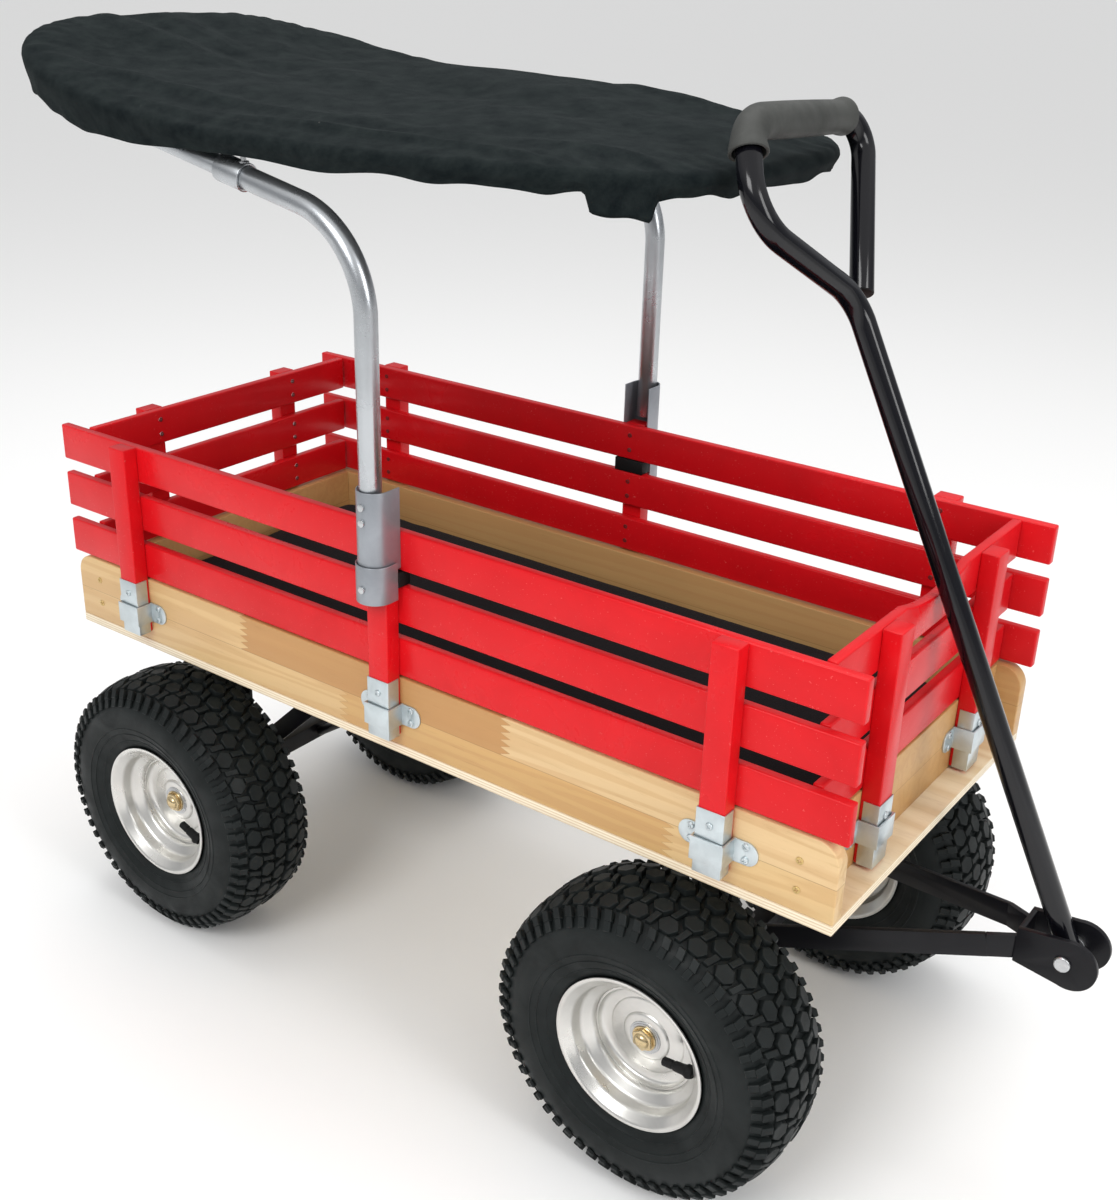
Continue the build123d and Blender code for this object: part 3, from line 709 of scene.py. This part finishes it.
rim = {"steps": 128, "sheet": 0.0022,
       "barrel": [(0.0905, -0.0548), (0.0927, -0.0560), (0.0936, -0.0573), (0.0932, -0.0583),
                  (0.0916, -0.0587), (0.0895, -0.0582),
                  (0.0876, -0.0566), (0.0850, -0.0540), (0.0810, -0.0508), (0.0793, -0.0490),
                  (0.0785, -0.0465), (0.0775, -0.0385),
                  (0.0768, -0.0362), (0.0745, -0.0340), (0.0670, -0.0296), (0.0648, -0.0275),
                  (0.0638, -0.0245), (0.0635, -0.0180)],
       "disc": [(0.0634, -0.0235), (0.0630, -0.0205), (0.0615, -0.0172), (0.0590, -0.0150),
                (0.0555, -0.0140), (0.0480, -0.0136),
                (0.0462, -0.0139), (0.0450, -0.0148), (0.0440, -0.0152), (0.0300, -0.0154),
                (0.0285, -0.0160), (0.0272, -0.0178),
                (0.0262, -0.0184), (0.0215, -0.0186), (0.0175, -0.0186)]}


def buildRim():
    # pressed steel: rolled lips, bead seats, drop centre, dished disc and hub tube
    barrel = rim["barrel"] + [(r, -y) for r, y in reversed(rim["barrel"])]
    skin = lathe("rimBarrel", barrel, rim["steps"], closed=False)
    modify(skin, "SOLIDIFY", thickness=rim["sheet"], offset=-1.0)
    disc = lathe("rimDisc", rim["disc"], rim["steps"], closed=False)
    modify(disc, "SOLIDIFY", thickness=rim["sheet"], offset=-1.0)
    hub = lathe("hubTube", [(0.0176, -0.0196), (0.0205, -0.0196), (0.0205, 0.0396), (0.0176, 0.0396)], 48)
    return smooth(joined("pressedRim", [skin, disc, hub]), 30)


def buildBearing():
    outline = [(0.0082, -0.0205), (0.0086, -0.0222), (0.0125, -0.0222), (0.0128, -0.0214),
               (0.0150, -0.0214), (0.0153, -0.0226),
               (0.0176, -0.0226), (0.0179, -0.0218), (0.0196, -0.0218), (0.0200, -0.0212),
               (0.0200, -0.0200), (0.0174, -0.0198),
               (0.0174, -0.0110), (0.0082, -0.0110)]
    outer = lathe("outerBearing", outline, 64)
    inner = lathe("innerBearing", [(r, 0.0200 - y) for r, y in outline], 64)
    return smooth(joined("hubBearings", [outer, inner]), 30)


def buildCapNut():
    # washer, hexagon and a domed end
    washer = lathe("washer", [(0.0082, -0.0222), (0.0146, -0.0222), (0.0150, -0.0226), (0.0150, -0.0236),
                              (0.0146, -0.0240), (0.0082, -0.0240)], 48)
    dome = [(0.0, -0.0342), (0.0032, -0.0339), (0.0060, -0.0329), (0.0080, -0.0314), (0.0092, -0.0296),
            (0.0098, -0.0278), (0.0100, -0.0248), (0.0, -0.0248)]
    cap = lathe("capDome", dome, 32)
    bpy.ops.mesh.primitive_cylinder_add(vertices=6, radius=0.0134, depth=0.0050, location=(0, -0.0262, 0),
                                        rotation=(math.pi / 2, 0, 0))
    flats = bevelled(settled(), 0.0009)
    return smooth(joined("capNut", [washer, cap, flats]), 35)


def buildValve():
    outline = [(0.0, 0.0372), (0.0040, 0.0372), (0.0050, 0.0382), (0.0052, 0.0490), (0.0046, 0.0498),
               (0.0046, 0.0508),
               (0.0052, 0.0516), (0.0057, 0.0530), (0.0060, 0.0630), (0.0065, 0.0655), (0.0078, 0.0674),
               (0.0078, 0.0700), (0.0060, 0.0745),
               (0.0, 0.0745)]
    stem = lathe("valveStem", outline, 32)
    stem.data.transform(Matrix.Rotation(-math.pi / 2, 4, "Z"))
    stem.data.transform(Matrix.Translation((0, -0.043, 0)))
    return smooth(tidyNormals(stem), 35)


wheelParts = {"tyre": (buildTyre(), tyreRubber, "tyre_rubber"), "rim": (buildRim(), rimSilver, "rim_paint"),
              "hub_bearings": (buildBearing(), platedSteel, "bearing_steel"),
              "valve_stem": (buildValve(), padRubber, "valve_rubber")}
capNut = buildCapNut()
axleNuts = {"front": [], "rear": []}
valveTurn = {"front": -5, "rear": 20}
for wheel in ("front_right", "front_left", "rear_right", "rear_left"):
    end, side = wheel.split("_")
    low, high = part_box(wheel + "_tyre")
    place = Matrix.Translation((low + high) / 2)
    if side == "left":
        place = place @ Matrix.Rotation(math.pi, 4, "Z")
    for part, (model, finish, slot) in wheelParts.items():
        turn = valveTurn[end] if part in ("valve_stem", "tyre") else 0
        twin = copied(model, f"{wheel}_{part}_made", place @ Matrix.Rotation(math.radians(turn), 4, "Y"))
        handOver(twin, wheel + "_wheel", slot, finish, f"{wheel}_{part}")
    axleNuts[end].append(copied(capNut, "nutCopy",
                                place @ Matrix.Rotation(math.radians(valveTurn[end]), 4, "Y")))
for model in [entry[0] for entry in wheelParts.values()] + [capNut]:
    bpy.data.objects.remove(model)
for end, body in (("front", "steering"), ("rear", "chassis")):
    pair = joined(end + "_cap_nuts", axleNuts[end])
    handOver(pair, body, "zinc_steel", yellowZinc, end + "_axle_nuts")
print("wheels made")

# screws

screw = {"headRadius": 0.0042, "headHeight": 0.0021, "slotWidth": 0.0011, "slotLength": 0.0050,
         "slotDepth": 0.0011}


def buildScrew(flush):
    # a cross-recessed head facing +Z, its seat on z = 0
    tall = 0.0007 if flush else screw["headHeight"]
    bpy.ops.mesh.primitive_cylinder_add(vertices=28, radius=screw["headRadius"], depth=tall,
                                        location=(0, 0, tall / 2))
    head = settled()
    pickNothing(head)
    for face in head.data.polygons:
        face.select = face.normal.z > 0.9
    bpy.ops.object.mode_set(mode="EDIT")
    bpy.ops.mesh.bevel(offset=tall * 0.55, segments=3, affect="EDGES")
    endEdit()
    for turn in (0, math.pi / 2):
        bpy.ops.mesh.primitive_cube_add(size=1, location=(0, 0, tall))
        cutter = bpy.context.active_object
        cutter.scale = (screw["slotLength"], screw["slotWidth"], 2 * screw["slotDepth"])
        cutter.rotation_euler = (0, 0, turn)
        settled()
        modify(head, "BOOLEAN", operation="DIFFERENCE", object=cutter, solver="EXACT")
        bpy.data.objects.remove(cutter)
    return smooth(head, 35)


panHead = buildScrew(False)
flushHead = buildScrew(True)
smallHead = copied(flushHead, "smallHead", Matrix.Diagonal((0.72, 0.72, 1, 1)))
dice = random.Random(4)


def setScrews(name, body, slot, material, model, spots, stoodFor=()):
    # spots are (place, way the head faces)
    made = []
    for place, way in spots:
        turn = Vector((0, 0, 1)).rotation_difference(Vector(way)).to_matrix().to_4x4()
        spin = Matrix.Rotation(dice.uniform(0, math.pi), 4, "Z")
        made.append(copied(model, "screwCopy", Matrix.Translation(place) @ turn @ spin))
    return handOver(joined(name, made), body, slot, material, *stoodFor)


def turnedRound(spots):
    # the same screws on the opposite side of the wagon
    centre = at(0, 0, 0)
    return [(Vector((2 * centre.x - p.x, -p.y, p.z)), (-w[0], -w[1], w[2])) for p, w in spots]


sidePlaces, endPlaces = (-442, 0, 442), (-125, 125)
earSpots = [(at(x + dx, -251, z),
             (0, -1, 0)) for x in sidePlaces for dx in (-32, 32) for z in (447.5, 463.5)]
earSpots += [(at(543, y + dy, z), (1, 0, 0)) for y in endPlaces for dy in (-32, 32) for z in (447.5, 463.5)]
setScrews("pocket_screws", "chassis", "zinc_steel", zincPlate, panHead, earSpots + turnedRound(earSpots))
boardSpots = [(at(x, -249.1, z), (0, -1, 0)) for x in (-531.5, 531.5) for z in (437, 471)]
setScrews("board_screws", "chassis", "zinc_steel", brassScrew, flushHead,
          boardSpots + turnedRound(boardSpots), ("wood_screws",))
slatSpots = [(p, dz) for p in (504, 570, 636) for dz in (13.16, 33.84)]
sideSlat = [(at(x, -236.9, p + dz), (0, 1, 0)) for x in sidePlaces for p, dz in slatSpots]
endSlat = [(at(528.9, y, p + dz), (-1, 0, 0)) for y in endPlaces for p, dz in slatSpots]
sideShoe = [(at(x, -271.2, 485), (0, -1, 0)) for x in sidePlaces]
endShoe = [(at(563.2, y, 474), (1, 0, 0)) for y in endPlaces]
setScrews("rack_slat_screws", "chassis", "zinc_steel", slatScrew, smallHead,
          sideSlat + turnedRound(sideSlat) + endSlat, ("rack_screws",))
setScrews("rack_shoe_screws", "chassis", "zinc_steel", zincPlate, panHead,
          sideShoe + turnedRound(sideShoe) + endShoe)
setScrews("rear_rack_slat_screws", "rear_rack", "zinc_steel", slatScrew, smallHead, turnedRound(endSlat))
setScrews("rear_rack_shoe_screws", "rear_rack", "zinc_steel", zincPlate, panHead, turnedRound(endShoe))
softened("rear_rack_fittings", zincPlate, "zinc_steel", 0.0004)
noseSpots = [(at(0, -289.5, z), (0, -1, 0)) for z in (718, 700)] + [(at(0, -292, 622), (0, -1, 0))]
setScrews("bracket_screws", "chassis", "zinc_steel", zincPlate, panHead, noseSpots + turnedRound(noseSpots))
softened("bracket_bolts", platedSteel, "zinc_steel", 0.0003)
for model in (panHead, flushHead, smallHead):
    bpy.data.objects.remove(model)
print("screws set")

# handle grip: a soft moulded sleeve with an open collar at each end

handle = {"pin": (738, 0, 311), "lean": 26.7, "grip": 0.0168, "collar": 0.0196}


def onHandle(along, across, forward=0):
    lean = math.radians(handle["lean"])
    x = handle["pin"][0] - along * math.sin(lean) + forward * math.cos(lean)
    return at(x, across, handle["pin"][2] + along * math.cos(lean) + forward * math.sin(lean))


def buildGrip():
    route = roundedRoute([onHandle(886, -112), onHandle(915, -97), onHandle(905.2, 96)], [0.045], 16)
    straight = [route[-2].lerp(route[-1], k / 24) for k in range(1, 25)]
    route = route[:-1] + straight
    length = [0.0]
    for a, b in zip(route, route[1:]):
        length.append(length[-1] + (b - a).length)
    radii = []
    for reach in length:
        gap = min(reach, length[-1] - reach)
        flare = math.exp(-(gap / 0.010) ** 2)
        swell = 0.0012 * math.sin(math.pi * reach / length[-1])
        radii.append(handle["grip"] + (handle["collar"] - handle["grip"]) * flare + swell)
    sleeve = sweptPipe("gripSleeve", route, radii, 40, capped=False)
    modify(sleeve, "SOLIDIFY", thickness=0.0034, offset=-1.0)
    bevelled(sleeve, 0.0009, 3, 50)
    return smooth(sleeve, 50)


handOver(buildGrip(), "handle", "black_rubber", gripRubber, "handle_grip").name = "grip_sleeve"


def buildPlug():
    # the cap in the handle's open end
    inner, outer = onHandle(760, 58.6, -9.8), onHandle(728, 39, -12)
    way = (outer - inner).normalized()
    route = [outer - way * 0.010, outer + way * 0.0002, outer + way * 0.0012, outer + way * 0.0016]
    return smooth(sweptPipe("endPlug", route, [0.0108, 0.0126, 0.0118, 0.0090], 32), 40)


handOver(buildPlug(), "handle", "black_rubber", padRubber).name = "handle_end_plug"
print("grip made")

# canopy cover: one continuous cloth, domed over the hoop, rolled round it and gathered underneath

canopy = {"rear": -655, "front": 327, "halfWidth": 305, "narrowing": 46, "squareness": 3.6, "crown": 18,
          "billow": 17, "lip": 12,
          "skirt": 13, "rearSkirt": 17, "tuck": 26, "tabDrop": 19, "tabStart": 228, "tabEnd": 274,
          "around": 480, "rings": 44,
          "lipRings": 5, "skirtRings": 7, "tuckRings": 5, "hoopRadius": 8.5,
          # long creases: distance from the middle, lean, height, width
          "creases": ((284, -0.006, 7.0, 6), (262, 0.016, 7.0, 8), (222, 0.05, 6.0, 13))}
canopyMiddle = (canopy["rear"] + canopy["front"]) / 2
canopyHalf = (canopy["front"] - canopy["rear"]) / 2


def easeStep(value, start, end):
    share = max(0.0, min(1.0, (value - start) / (end - start)))
    return share * share * (3 - 2 * share)


def hoopLine(x):
    reach = x + 158
    return 1083 - 0.036 * reach + 38 * (reach / 494) ** 2 - 31.3 * (reach / 494) ** 3


def edgePoint(angle, inset):
    # a place on the cover's outline, a rounded oblong that narrows towards the front
    c, s = math.cos(angle), math.sin(angle)
    power = 2 / canopy["squareness"]
    ex = math.copysign(abs(c) ** power, c)
    ey = math.copysign(abs(s) ** power, s)
    x = canopyMiddle + (canopyHalf - inset) * ex
    width = canopy["halfWidth"] - canopy["narrowing"] * easeStep(x, -260, 400)
    return x, (width - inset) * ey


def foldHeight(x, y, share):
    # two long creases beside each edge, fans at the rear and slack across the middle
    total = 0.0
    narrow = canopy["narrowing"] * easeStep(x, -260, 400)
    for line, lean, size, wide in canopy["creases"]:
        off = abs(y) - (line - narrow - lean * (x + 160) + 4 * math.sin(x / 95 + line))
        wave = 0.65 + 0.35 * math.sin(x / 120 + line * 0.7 + (y > 0) * 2)
        total += size * math.exp(-(off / wide) ** 2) * wave
    rear = max(0.0, min(1.0, (-x - 330) / 240))
    angle = math.atan2(y + 20, -(x + 250))
    fan = math.sin(angle * 13 + 2.2 * math.sin(y / 60))
    total += 10.0 * rear * share ** 2 * fan * max(0.0, 1 - abs(y + 60) / 420)
    slack = math.sin(x / 57 + y / 83 + 1.4 * math.sin(y / 71))
    total += 5.0 * slack * math.sin(y / 49 - x / 190) * (1 - share ** 6)
    total += 1.3 * math.sin(x / 23 - y / 37 + 2 * math.sin(x / 66)) * (1 - share ** 4)
    return total


def clothPoint(part, share, angle):
    # part is the crown, the roll over the hoop, the skirt beside it or the gathered hem
    # share is the way along that part
    lip = canopy["lip"]
    outX, outY = edgePoint(angle, lip)
    rimX, rimY = edgePoint(angle, 0)
    ruffle = (math.sin(angle * 61 + 2.1 * math.sin(angle * 7)) + 0.7 * math.sin(angle * 37 + 1.3)) * 0.5
    scallop = math.sin(angle * 19 + 1.7 * math.sin(angle * 5)) + 0.6 * math.sin(angle * 33 + 0.8)
    tab = easeStep(outX, canopy["tabStart"] - 4,
                   canopy["tabStart"] + 1) - easeStep(outX, canopy["tabEnd"] - 1, canopy["tabEnd"] + 4)
    tab = tab if outY < -60 else 0.0
    base = hoopLine(outX)
    if part == "crown":
        x, y = canopyMiddle + (outX - canopyMiddle) * share, outY * share
        flatness = 1 - share ** 4.5
        along = 0.8 + 0.2 * math.cos((x - canopyMiddle) / canopyHalf * 1.2)
        line = hoopLine(x) + (base - hoopLine(x)) * share ** 12
        z = line + lip + canopy["crown"] * flatness * along + foldHeight(x, y, share) * (1 - share ** 14)
        z += canopy["billow"] * easeStep(y, -40, 200) * math.exp(-((x + 90) / 210) ** 2) * (1 - share ** 12)
        return at(x, y, z + 1.3 * ruffle * easeStep(share, 0.86, 1.0))
    if part == "roll":
        turn = math.pi / 2 * share
        x = outX + (rimX - outX) * math.sin(turn)
        y = outY + (rimY - outY) * math.sin(turn)
        return at(x, y, base + lip * math.cos(turn) + 1.3 * ruffle * (1 - share))
    sway = 1.2 * ruffle + 0.9 * scallop
    deeper = canopy["rearSkirt"] * easeStep(-outX, 120, 400) * (1 - 0.6 * easeStep(-outX, 560, 650))
    drop = canopy["skirt"] + deeper + 2.4 * scallop + canopy["tabDrop"] * tab
    if part == "skirt":
        inset = 2.0 + 2.0 * math.cos(math.pi * (1 + share)) + share * (1.5 + sway * 0.8) * (1 - 0.6 * tab)
        x, y = edgePoint(angle, inset)
        return at(x, y, base - drop * share)
    inset = 5.5 + sway * 0.8 * (1 - 0.6 * tab) + canopy["tuck"] * share * (1 - 0.6 * tab)
    x, y = edgePoint(angle, inset)
    bulge = 2.4 * math.sin(math.pi * min(1.0, share * 3)) * (1 - tab)
    under = drop + bulge - share * (7 + 2.4 * scallop) - tab * share * 10
    return at(x, y, base - under)


def buildCanopy():
    steps, points, faces, flat = canopy["around"], [], [], []
    rows = [("crown", k / (canopy["rings"] - 1)) for k in range(1, canopy["rings"])]
    rows = [(part, share ** 0.8) for part, share in rows]
    for part, count in (("roll", canopy["lipRings"]), ("skirt", canopy["skirtRings"]),
                        ("hem", canopy["tuckRings"])):
        rows += [(part, (k + 1) / count) for k in range(count)]
    wider = {"crown": (0, 0), "roll": (0, 19), "skirt": (19, 22), "hem": (41, 26)}
    for part, share in rows:
        start, more = wider[part]
        for i in range(steps):
            angle = math.tau * i / steps
            points.append(clothPoint(part, share, angle))
            rimX, rimY = edgePoint(angle, canopy["lip"] - start - more * share)
            if part == "crown":
                rimX, rimY = canopyMiddle + (rimX - canopyMiddle) * share, rimY * share
            flat.append((rimX / 1000, rimY / 1000))
    for k in range(len(rows) - 1):
        for i in range(steps):
            m = (i + 1) % steps
            faces.append((k * steps + i, k * steps + m, (k + 1) * steps + m, (k + 1) * steps + i))
    top = hoopLine(canopyMiddle) + canopy["lip"] + canopy["crown"] + foldHeight(canopyMiddle, 0, 0)
    points.append(at(canopyMiddle, 0, top))
    flat.append((canopyMiddle / 1000, 0.0))
    for i in range(steps):
        faces.append((i, len(points) - 1, (i + 1) % steps))
    cover = newPiece("canopyCloth", points, (), faces)
    layer = cover.data.uv_layers.new(name="clothThreads")
    for loop in cover.data.loops:
        layer.data[loop.index].uv = flat[loop.vertex_index]
    return tidyNormals(cover)


def buildHoop():
    # the oblong ring of tube, out of sight in the roll of the cloth
    route = []
    for i in range(240):
        x, y = edgePoint(math.tau * i / 240, canopy["lip"])
        route.append(at(x, y, hoopLine(x)))
    return smooth(sweptPipe("canopyRing", route, [canopy["hoopRadius"] / 1000] * len(route), 24,
                            looped=True), 60)


def buildHangers():
    # a bolt with a nut from the sleeve, and one from the inner tube, up to the ring
    made = []
    for x, foot in ((-170, 1054), (-414, 1101)):
        for y in (-274.5, 274.5):
            bolt = sweptPipe("hangerBolt", [at(x, y, foot), at(x, y, hoopLine(x) - 4)], [0.0030, 0.0030],
                             16)
            nut = sweptPipe("hangerNut", [at(x, y, foot + 3), at(x, y, foot + 8)], [0.0062, 0.0062], 6)
            made += [bolt, bevelled(nut, 0.0008)]
    return smooth(joined("hangers", made), 35)


canopyCloth = buildCanopy()
handOver(buildHangers(), "chassis", "zinc_steel", platedSteel, "canopy_clips").name = "canopy_hanger_bolts"
modify(canopyCloth, "SOLIDIFY", thickness=0.0011, offset=-1.0)
pick(canopyCloth)
bpy.ops.object.shade_smooth()
handOver(buildHoop(), "chassis", "canopy_tube_steel", silverTube, "canopy_hoop").name = "canopy_ring"
handOver(canopyCloth, "chassis", "canopy_fabric", canopyCotton, "canopy_cover").name = "canopy_cloth"
print("canopy made")

# bed cushion: a stuffed cloth pad with a sewn edge, pressed flat on the deck

cushion = {"shrink": 0.004, "voxel": 0.0075, "pressure": 3.5, "frames": 18, "mostRise": 0.006,
           "cornerRadius": 0.030}


def buildCushion():
    low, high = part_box("floor_pad")
    middle, size = (low + high) / 2, high - low
    bpy.ops.mesh.primitive_cube_add(size=1, location=middle)
    pad = bpy.context.active_object
    pad.scale = (size.x - cushion["shrink"], size.y - cushion["shrink"], size.z - 0.003)
    pad.location.z -= 0.0015
    settled()
    pickNothing(pad)
    for edge in pad.data.edges:
        a, b = (pad.data.vertices[v].co for v in edge.vertices)
        edge.select = abs(a.z - b.z) > 0.01
    bpy.ops.object.mode_set(mode="EDIT")
    bpy.ops.mesh.bevel(offset=cushion["cornerRadius"], segments=6, affect="EDGES")
    endEdit()
    bevelled(pad, 0.008, 3, 60)
    modify(pad, "REMESH", mode="VOXEL", voxel_size=cushion["voxel"])
    rest = [v.co.copy() for v in pad.data.vertices]
    puff(pad, rest, low.z)
    modify(pad, "SUBSURF", levels=1, render_levels=1)
    pick(pad)
    bpy.ops.object.shade_smooth()
    return pad


def puff(pad, rest, floorZ):
    # swell the cloth with a little pressure, then hold it to the space it has
    pick(pad)
    cloth = pad.modifiers.new("cloth", "CLOTH")
    cloth.settings.quality = 4
    cloth.settings.use_pressure = True
    cloth.settings.uniform_pressure_force = cushion["pressure"]
    cloth.settings.effector_weights.gravity = 0
    cloth.point_cache.frame_start, cloth.point_cache.frame_end = 1, cushion["frames"]
    for number in range(1, cushion["frames"] + 1):
        bpy.context.scene.frame_set(number)
    bpy.ops.object.modifier_apply(modifier="cloth")
    for vertex, was in zip(pad.data.vertices, rest):
        move = vertex.co - was
        if move.length > cushion["mostRise"]:
            move = move * (cushion["mostRise"] / move.length)
        vertex.co = was + Vector((move.x * 0.3, move.y * 0.3, move.z))
        vertex.co.z = max(vertex.co.z, floorZ + 0.0003)


bedPad = buildCushion()
handOver(bedPad, "chassis", "bed_cushion", bedCarpet, "floor_pad").name = "bed_cushion"
bpy.context.scene.frame_set(1)
print("cushion made")

# floor, light and camera

bpy.ops.mesh.primitive_plane_add(size=240, location=(0, 0, -0.0005))
floor = bpy.context.active_object
floorPaint, floorTree, floorShader = startMaterial("studioFloor", Roughness=0.6, Specular_IOR_Level=0.2)
floorShader.inputs["Base Color"].default_value = (0.92, 0.92, 0.915, 1)
painted(floor, floorPaint)
floor.name = "studio_floor"

world = bpy.data.worlds.new("studioAir")
bpy.context.scene.world = world
bpy.context.scene.view_settings.view_transform = "Standard"
world.use_nodes = True
air = world.node_tree
look = addNode(air, "ShaderNodeTexCoord")
height = addNode(air, "ShaderNodeSeparateXYZ")
wire(air, look.outputs["Generated"], height.inputs[0])
around = ramp(air, height.outputs["Z"],
              [(0.0, (0.30, 0.31, 0.33)), (0.22, (0.42, 0.43, 0.45)), (0.55, (1, 1, 1))])
seen = addNode(air, "ShaderNodeLightPath")
wire(air, mixed(air, seen.outputs["Is Camera Ray"], around, (1.15, 1.15, 1.15)),
     air.nodes["Background"].inputs["Color"])
air.nodes["Background"].inputs["Strength"].default_value = 0.85


def softbox(name, place, target, wide, tall, watts):
    light = bpy.data.lights.new(name, "AREA")
    light.shape = "RECTANGLE"
    light.size, light.size_y, light.energy = wide, tall, watts
    lamp = bpy.data.objects.new(name, light)
    bpy.context.scene.collection.objects.link(lamp)
    lamp.location = place
    lamp.rotation_euler = (Vector(target) - Vector(place)).to_track_quat("-Z", "Y").to_euler()


softbox("keyBox", (0.2, -3.2, 3.0), (0, 0, 0.5), 1.8, 1.4, 62)
softbox("frontBox", (3.4, -0.6, 2.2), (0.2, 0, 0.5), 1.2, 1.8, 42)
softbox("topBox", (-0.4, 0.6, 4.0), (0, 0, 0.6), 3.0, 2.0, 60)

cameraData = bpy.data.cameras.new("frontCorner")
cameraData.lens = 44.23
cameraData.shift_x = 0.0241
cameraData.shift_y = -0.0031
camera = bpy.data.objects.new("frontCorner", cameraData)
bpy.context.scene.collection.objects.link(camera)
camera.location = at(1033.9, -1372.3, 1285.2)
camera.rotation_euler = [math.radians(v) for v in (65.812, -1.131, 37.154)]
bpy.context.scene.camera = camera
print("stage set")
